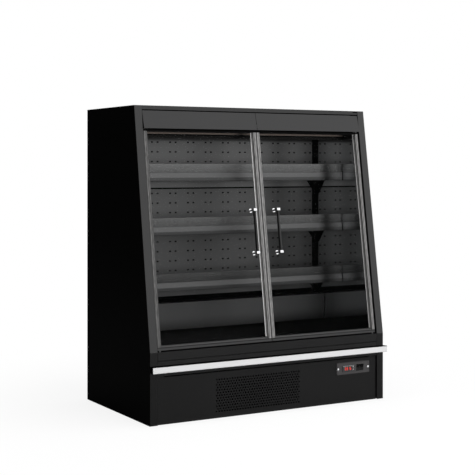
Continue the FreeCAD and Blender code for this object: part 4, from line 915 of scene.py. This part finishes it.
# A thin frame of moulded grey plastic, four bars with round corners, is clipped round the two
# rockers.
FRAME_MIDDLE, FRAME_HALF, FRAME_UP, FRAME_BAR = 0.0412, 0.0239, 0.0185, 0.0016
FRAME_OUT, FRAME_THICK, FRAME_ROUND = 0.005, 0.0006, 0.0007
lying = rounded(2 * FRAME_HALF + FRAME_BAR, FRAME_BAR, FRAME_ROUND)
standing = rounded(FRAME_BAR, 2 * FRAME_UP - FRAME_BAR, FRAME_ROUND)
bars = [plate(outline, FRAME_MIDDLE + across, up, FRAME_OUT, FRAME_THICK)
        for outline, across, up in ((lying, 0, -FRAME_UP), (lying, 0, FRAME_UP),
                                    (standing, -FRAME_HALF, 0), (standing, FRAME_HALF, 0))]
rocker_frame = made_piece("rocker_frame", bars, moulded("frame grey", grey(0.06), 0.3))
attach(rocker_frame, "case")


# Black sheet aprons close the machine compartment in front, as painted shade: one under the base
# frame, dark through the grille's lowest holes, and one between the kick panel and the tub, dark
# in the gap over the kick panel. APRONS gives each one's front, foot and top, with the front
# counted from the case's own.
SHEET = 0.0012
APRON_SIDE = 0.62
APRONS = ((0.0128, 0.006, 0.034), (0.0158, 0.212, 0.2255))


def block(low, high):
    """A box between two corners of the case, with y counted from the case's front."""
    low, high = (np.array(corner) - (0, DEPTH_MIDDLE, 0) for corner in (low, high))
    x, y = ((low + high) / 2)[:2]
    return carried(rounded(high[0] - low[0], high[1] - low[1], SHARP, 2),
                   [(x, y, low[2]), (x, y, high[2])], ACROSS, -OUTWARD)


aprons = made_piece("machine_aprons",
                    [block((-APRON_SIDE, front, low), (APRON_SIDE, front + SHEET, high))
                     for front, low, high in APRONS],
                    powder_coat("apron black", grey(0.001), 0.5, gloss=0))
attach(aprons, "case")


# Each shelf bracket ends in an ear of the same black sheet steel, folded behind the end of the
# price rail.
EAR = np.array([(-0.052, 0), (0, 0), (0, -0.05), (-0.01, -0.05)])
EAR_CORNER, EAR_FRONT, EAR_DROP, EAR_THICK = 0.617, 0.212, 0.0045, 0.002
ears = []
for foot in RAIL_FEET:
    for way in (-1, 1):
        corner = np.array([way * EAR_CORNER, EAR_FRONT, foot - EAR_DROP])
        ears.append(carried(EAR * (way, 1), [corner, corner + (0, EAR_THICK, 0)], ACROSS, UPWARD))
bracket_ears = made_piece("bracket_ears", ears,
                          powder_coat("ear black", grey(0.0015), 0.5, gloss=0))
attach(bracket_ears, "case")


# The floor seal: a black plastic strip, 4 mm high, that closes the gap under the kick panel and
# along the foot of both side panels.
SEAL_LOW, SEAL_HIGH = 0.0002, 0.0041
SEAL_INNER, SEAL_OUTER = 0.6252, 0.6648
SEAL_FRONT, SEAL_BACK = 0.0003, 0.7365
SEAL_THICK = 0.003
SEAL_GAP = 0.0001
KICK_SIDE = 0.6245
KICK_FRONT = 0.0082


def side_blocks(inner, outer, front, back, low, high):
    """A box between two distances from the case's middle, on its left and on its right."""
    return [block((min(way * inner, way * outer), front, low),
                  (max(way * inner, way * outer), back, high)) for way in (-1, 1)]


seal = [block((-KICK_SIDE, KICK_FRONT, SEAL_LOW), (KICK_SIDE, KICK_FRONT + SEAL_THICK, SEAL_HIGH))]
turned = SEAL_FRONT + SEAL_THICK
seal += side_blocks(SEAL_INNER, SEAL_OUTER, SEAL_FRONT, turned, SEAL_LOW, SEAL_HIGH)
seal += side_blocks(SEAL_OUTER - SEAL_THICK, SEAL_OUTER, turned + SEAL_GAP, SEAL_BACK,
                    SEAL_LOW, SEAL_HIGH)
floor_seal = made_piece("floor_seal", seal, black_plastic)
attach(floor_seal, "case")


# Two filler plates, in the cover's grey, close the gaps between the evaporator cover's ends and the
# side walls.
COVER_END, COVER_WALL = 0.6022, 0.6205
COVER_FRONT, COVER_BACK = 0.472, 0.4735
COVER_FOOT, COVER_CREST = 0.3645, 0.4993
fillers = side_blocks(COVER_END, COVER_WALL, COVER_FRONT, COVER_BACK, COVER_FOOT, COVER_CREST)
cover_ends = made_piece("cover_ends", fillers, cover_grey)
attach(cover_ends, "case")


# The roof's front trim is folded steel. A black strip, painted shade, lines the groove along it,
# and two short black strips show at its right end. The table gives each one's left end, how far
# it stands proud, its foot and its top.
TRIM_FRONT = 0.173
TRIM_BACK = TRIM_FRONT + 0.003
TRIM_SIDE = 0.6245
TRIM_STRIPS = ((-TRIM_SIDE, 0.0003, 1.4605, 1.466), (0.575, 0.0006, 1.4592, 1.4662),
         (0.597, 0.0006, 1.4755, 1.4808))
strips = [block((left, TRIM_FRONT - proud, low), (TRIM_SIDE, TRIM_BACK, high))
         for left, proud, low, high in TRIM_STRIPS]
trim_strips = made_piece("trim_strips", strips, powder_coat("slot black", grey(0.001), 0.7, gloss=0))
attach(trim_strips, "case")
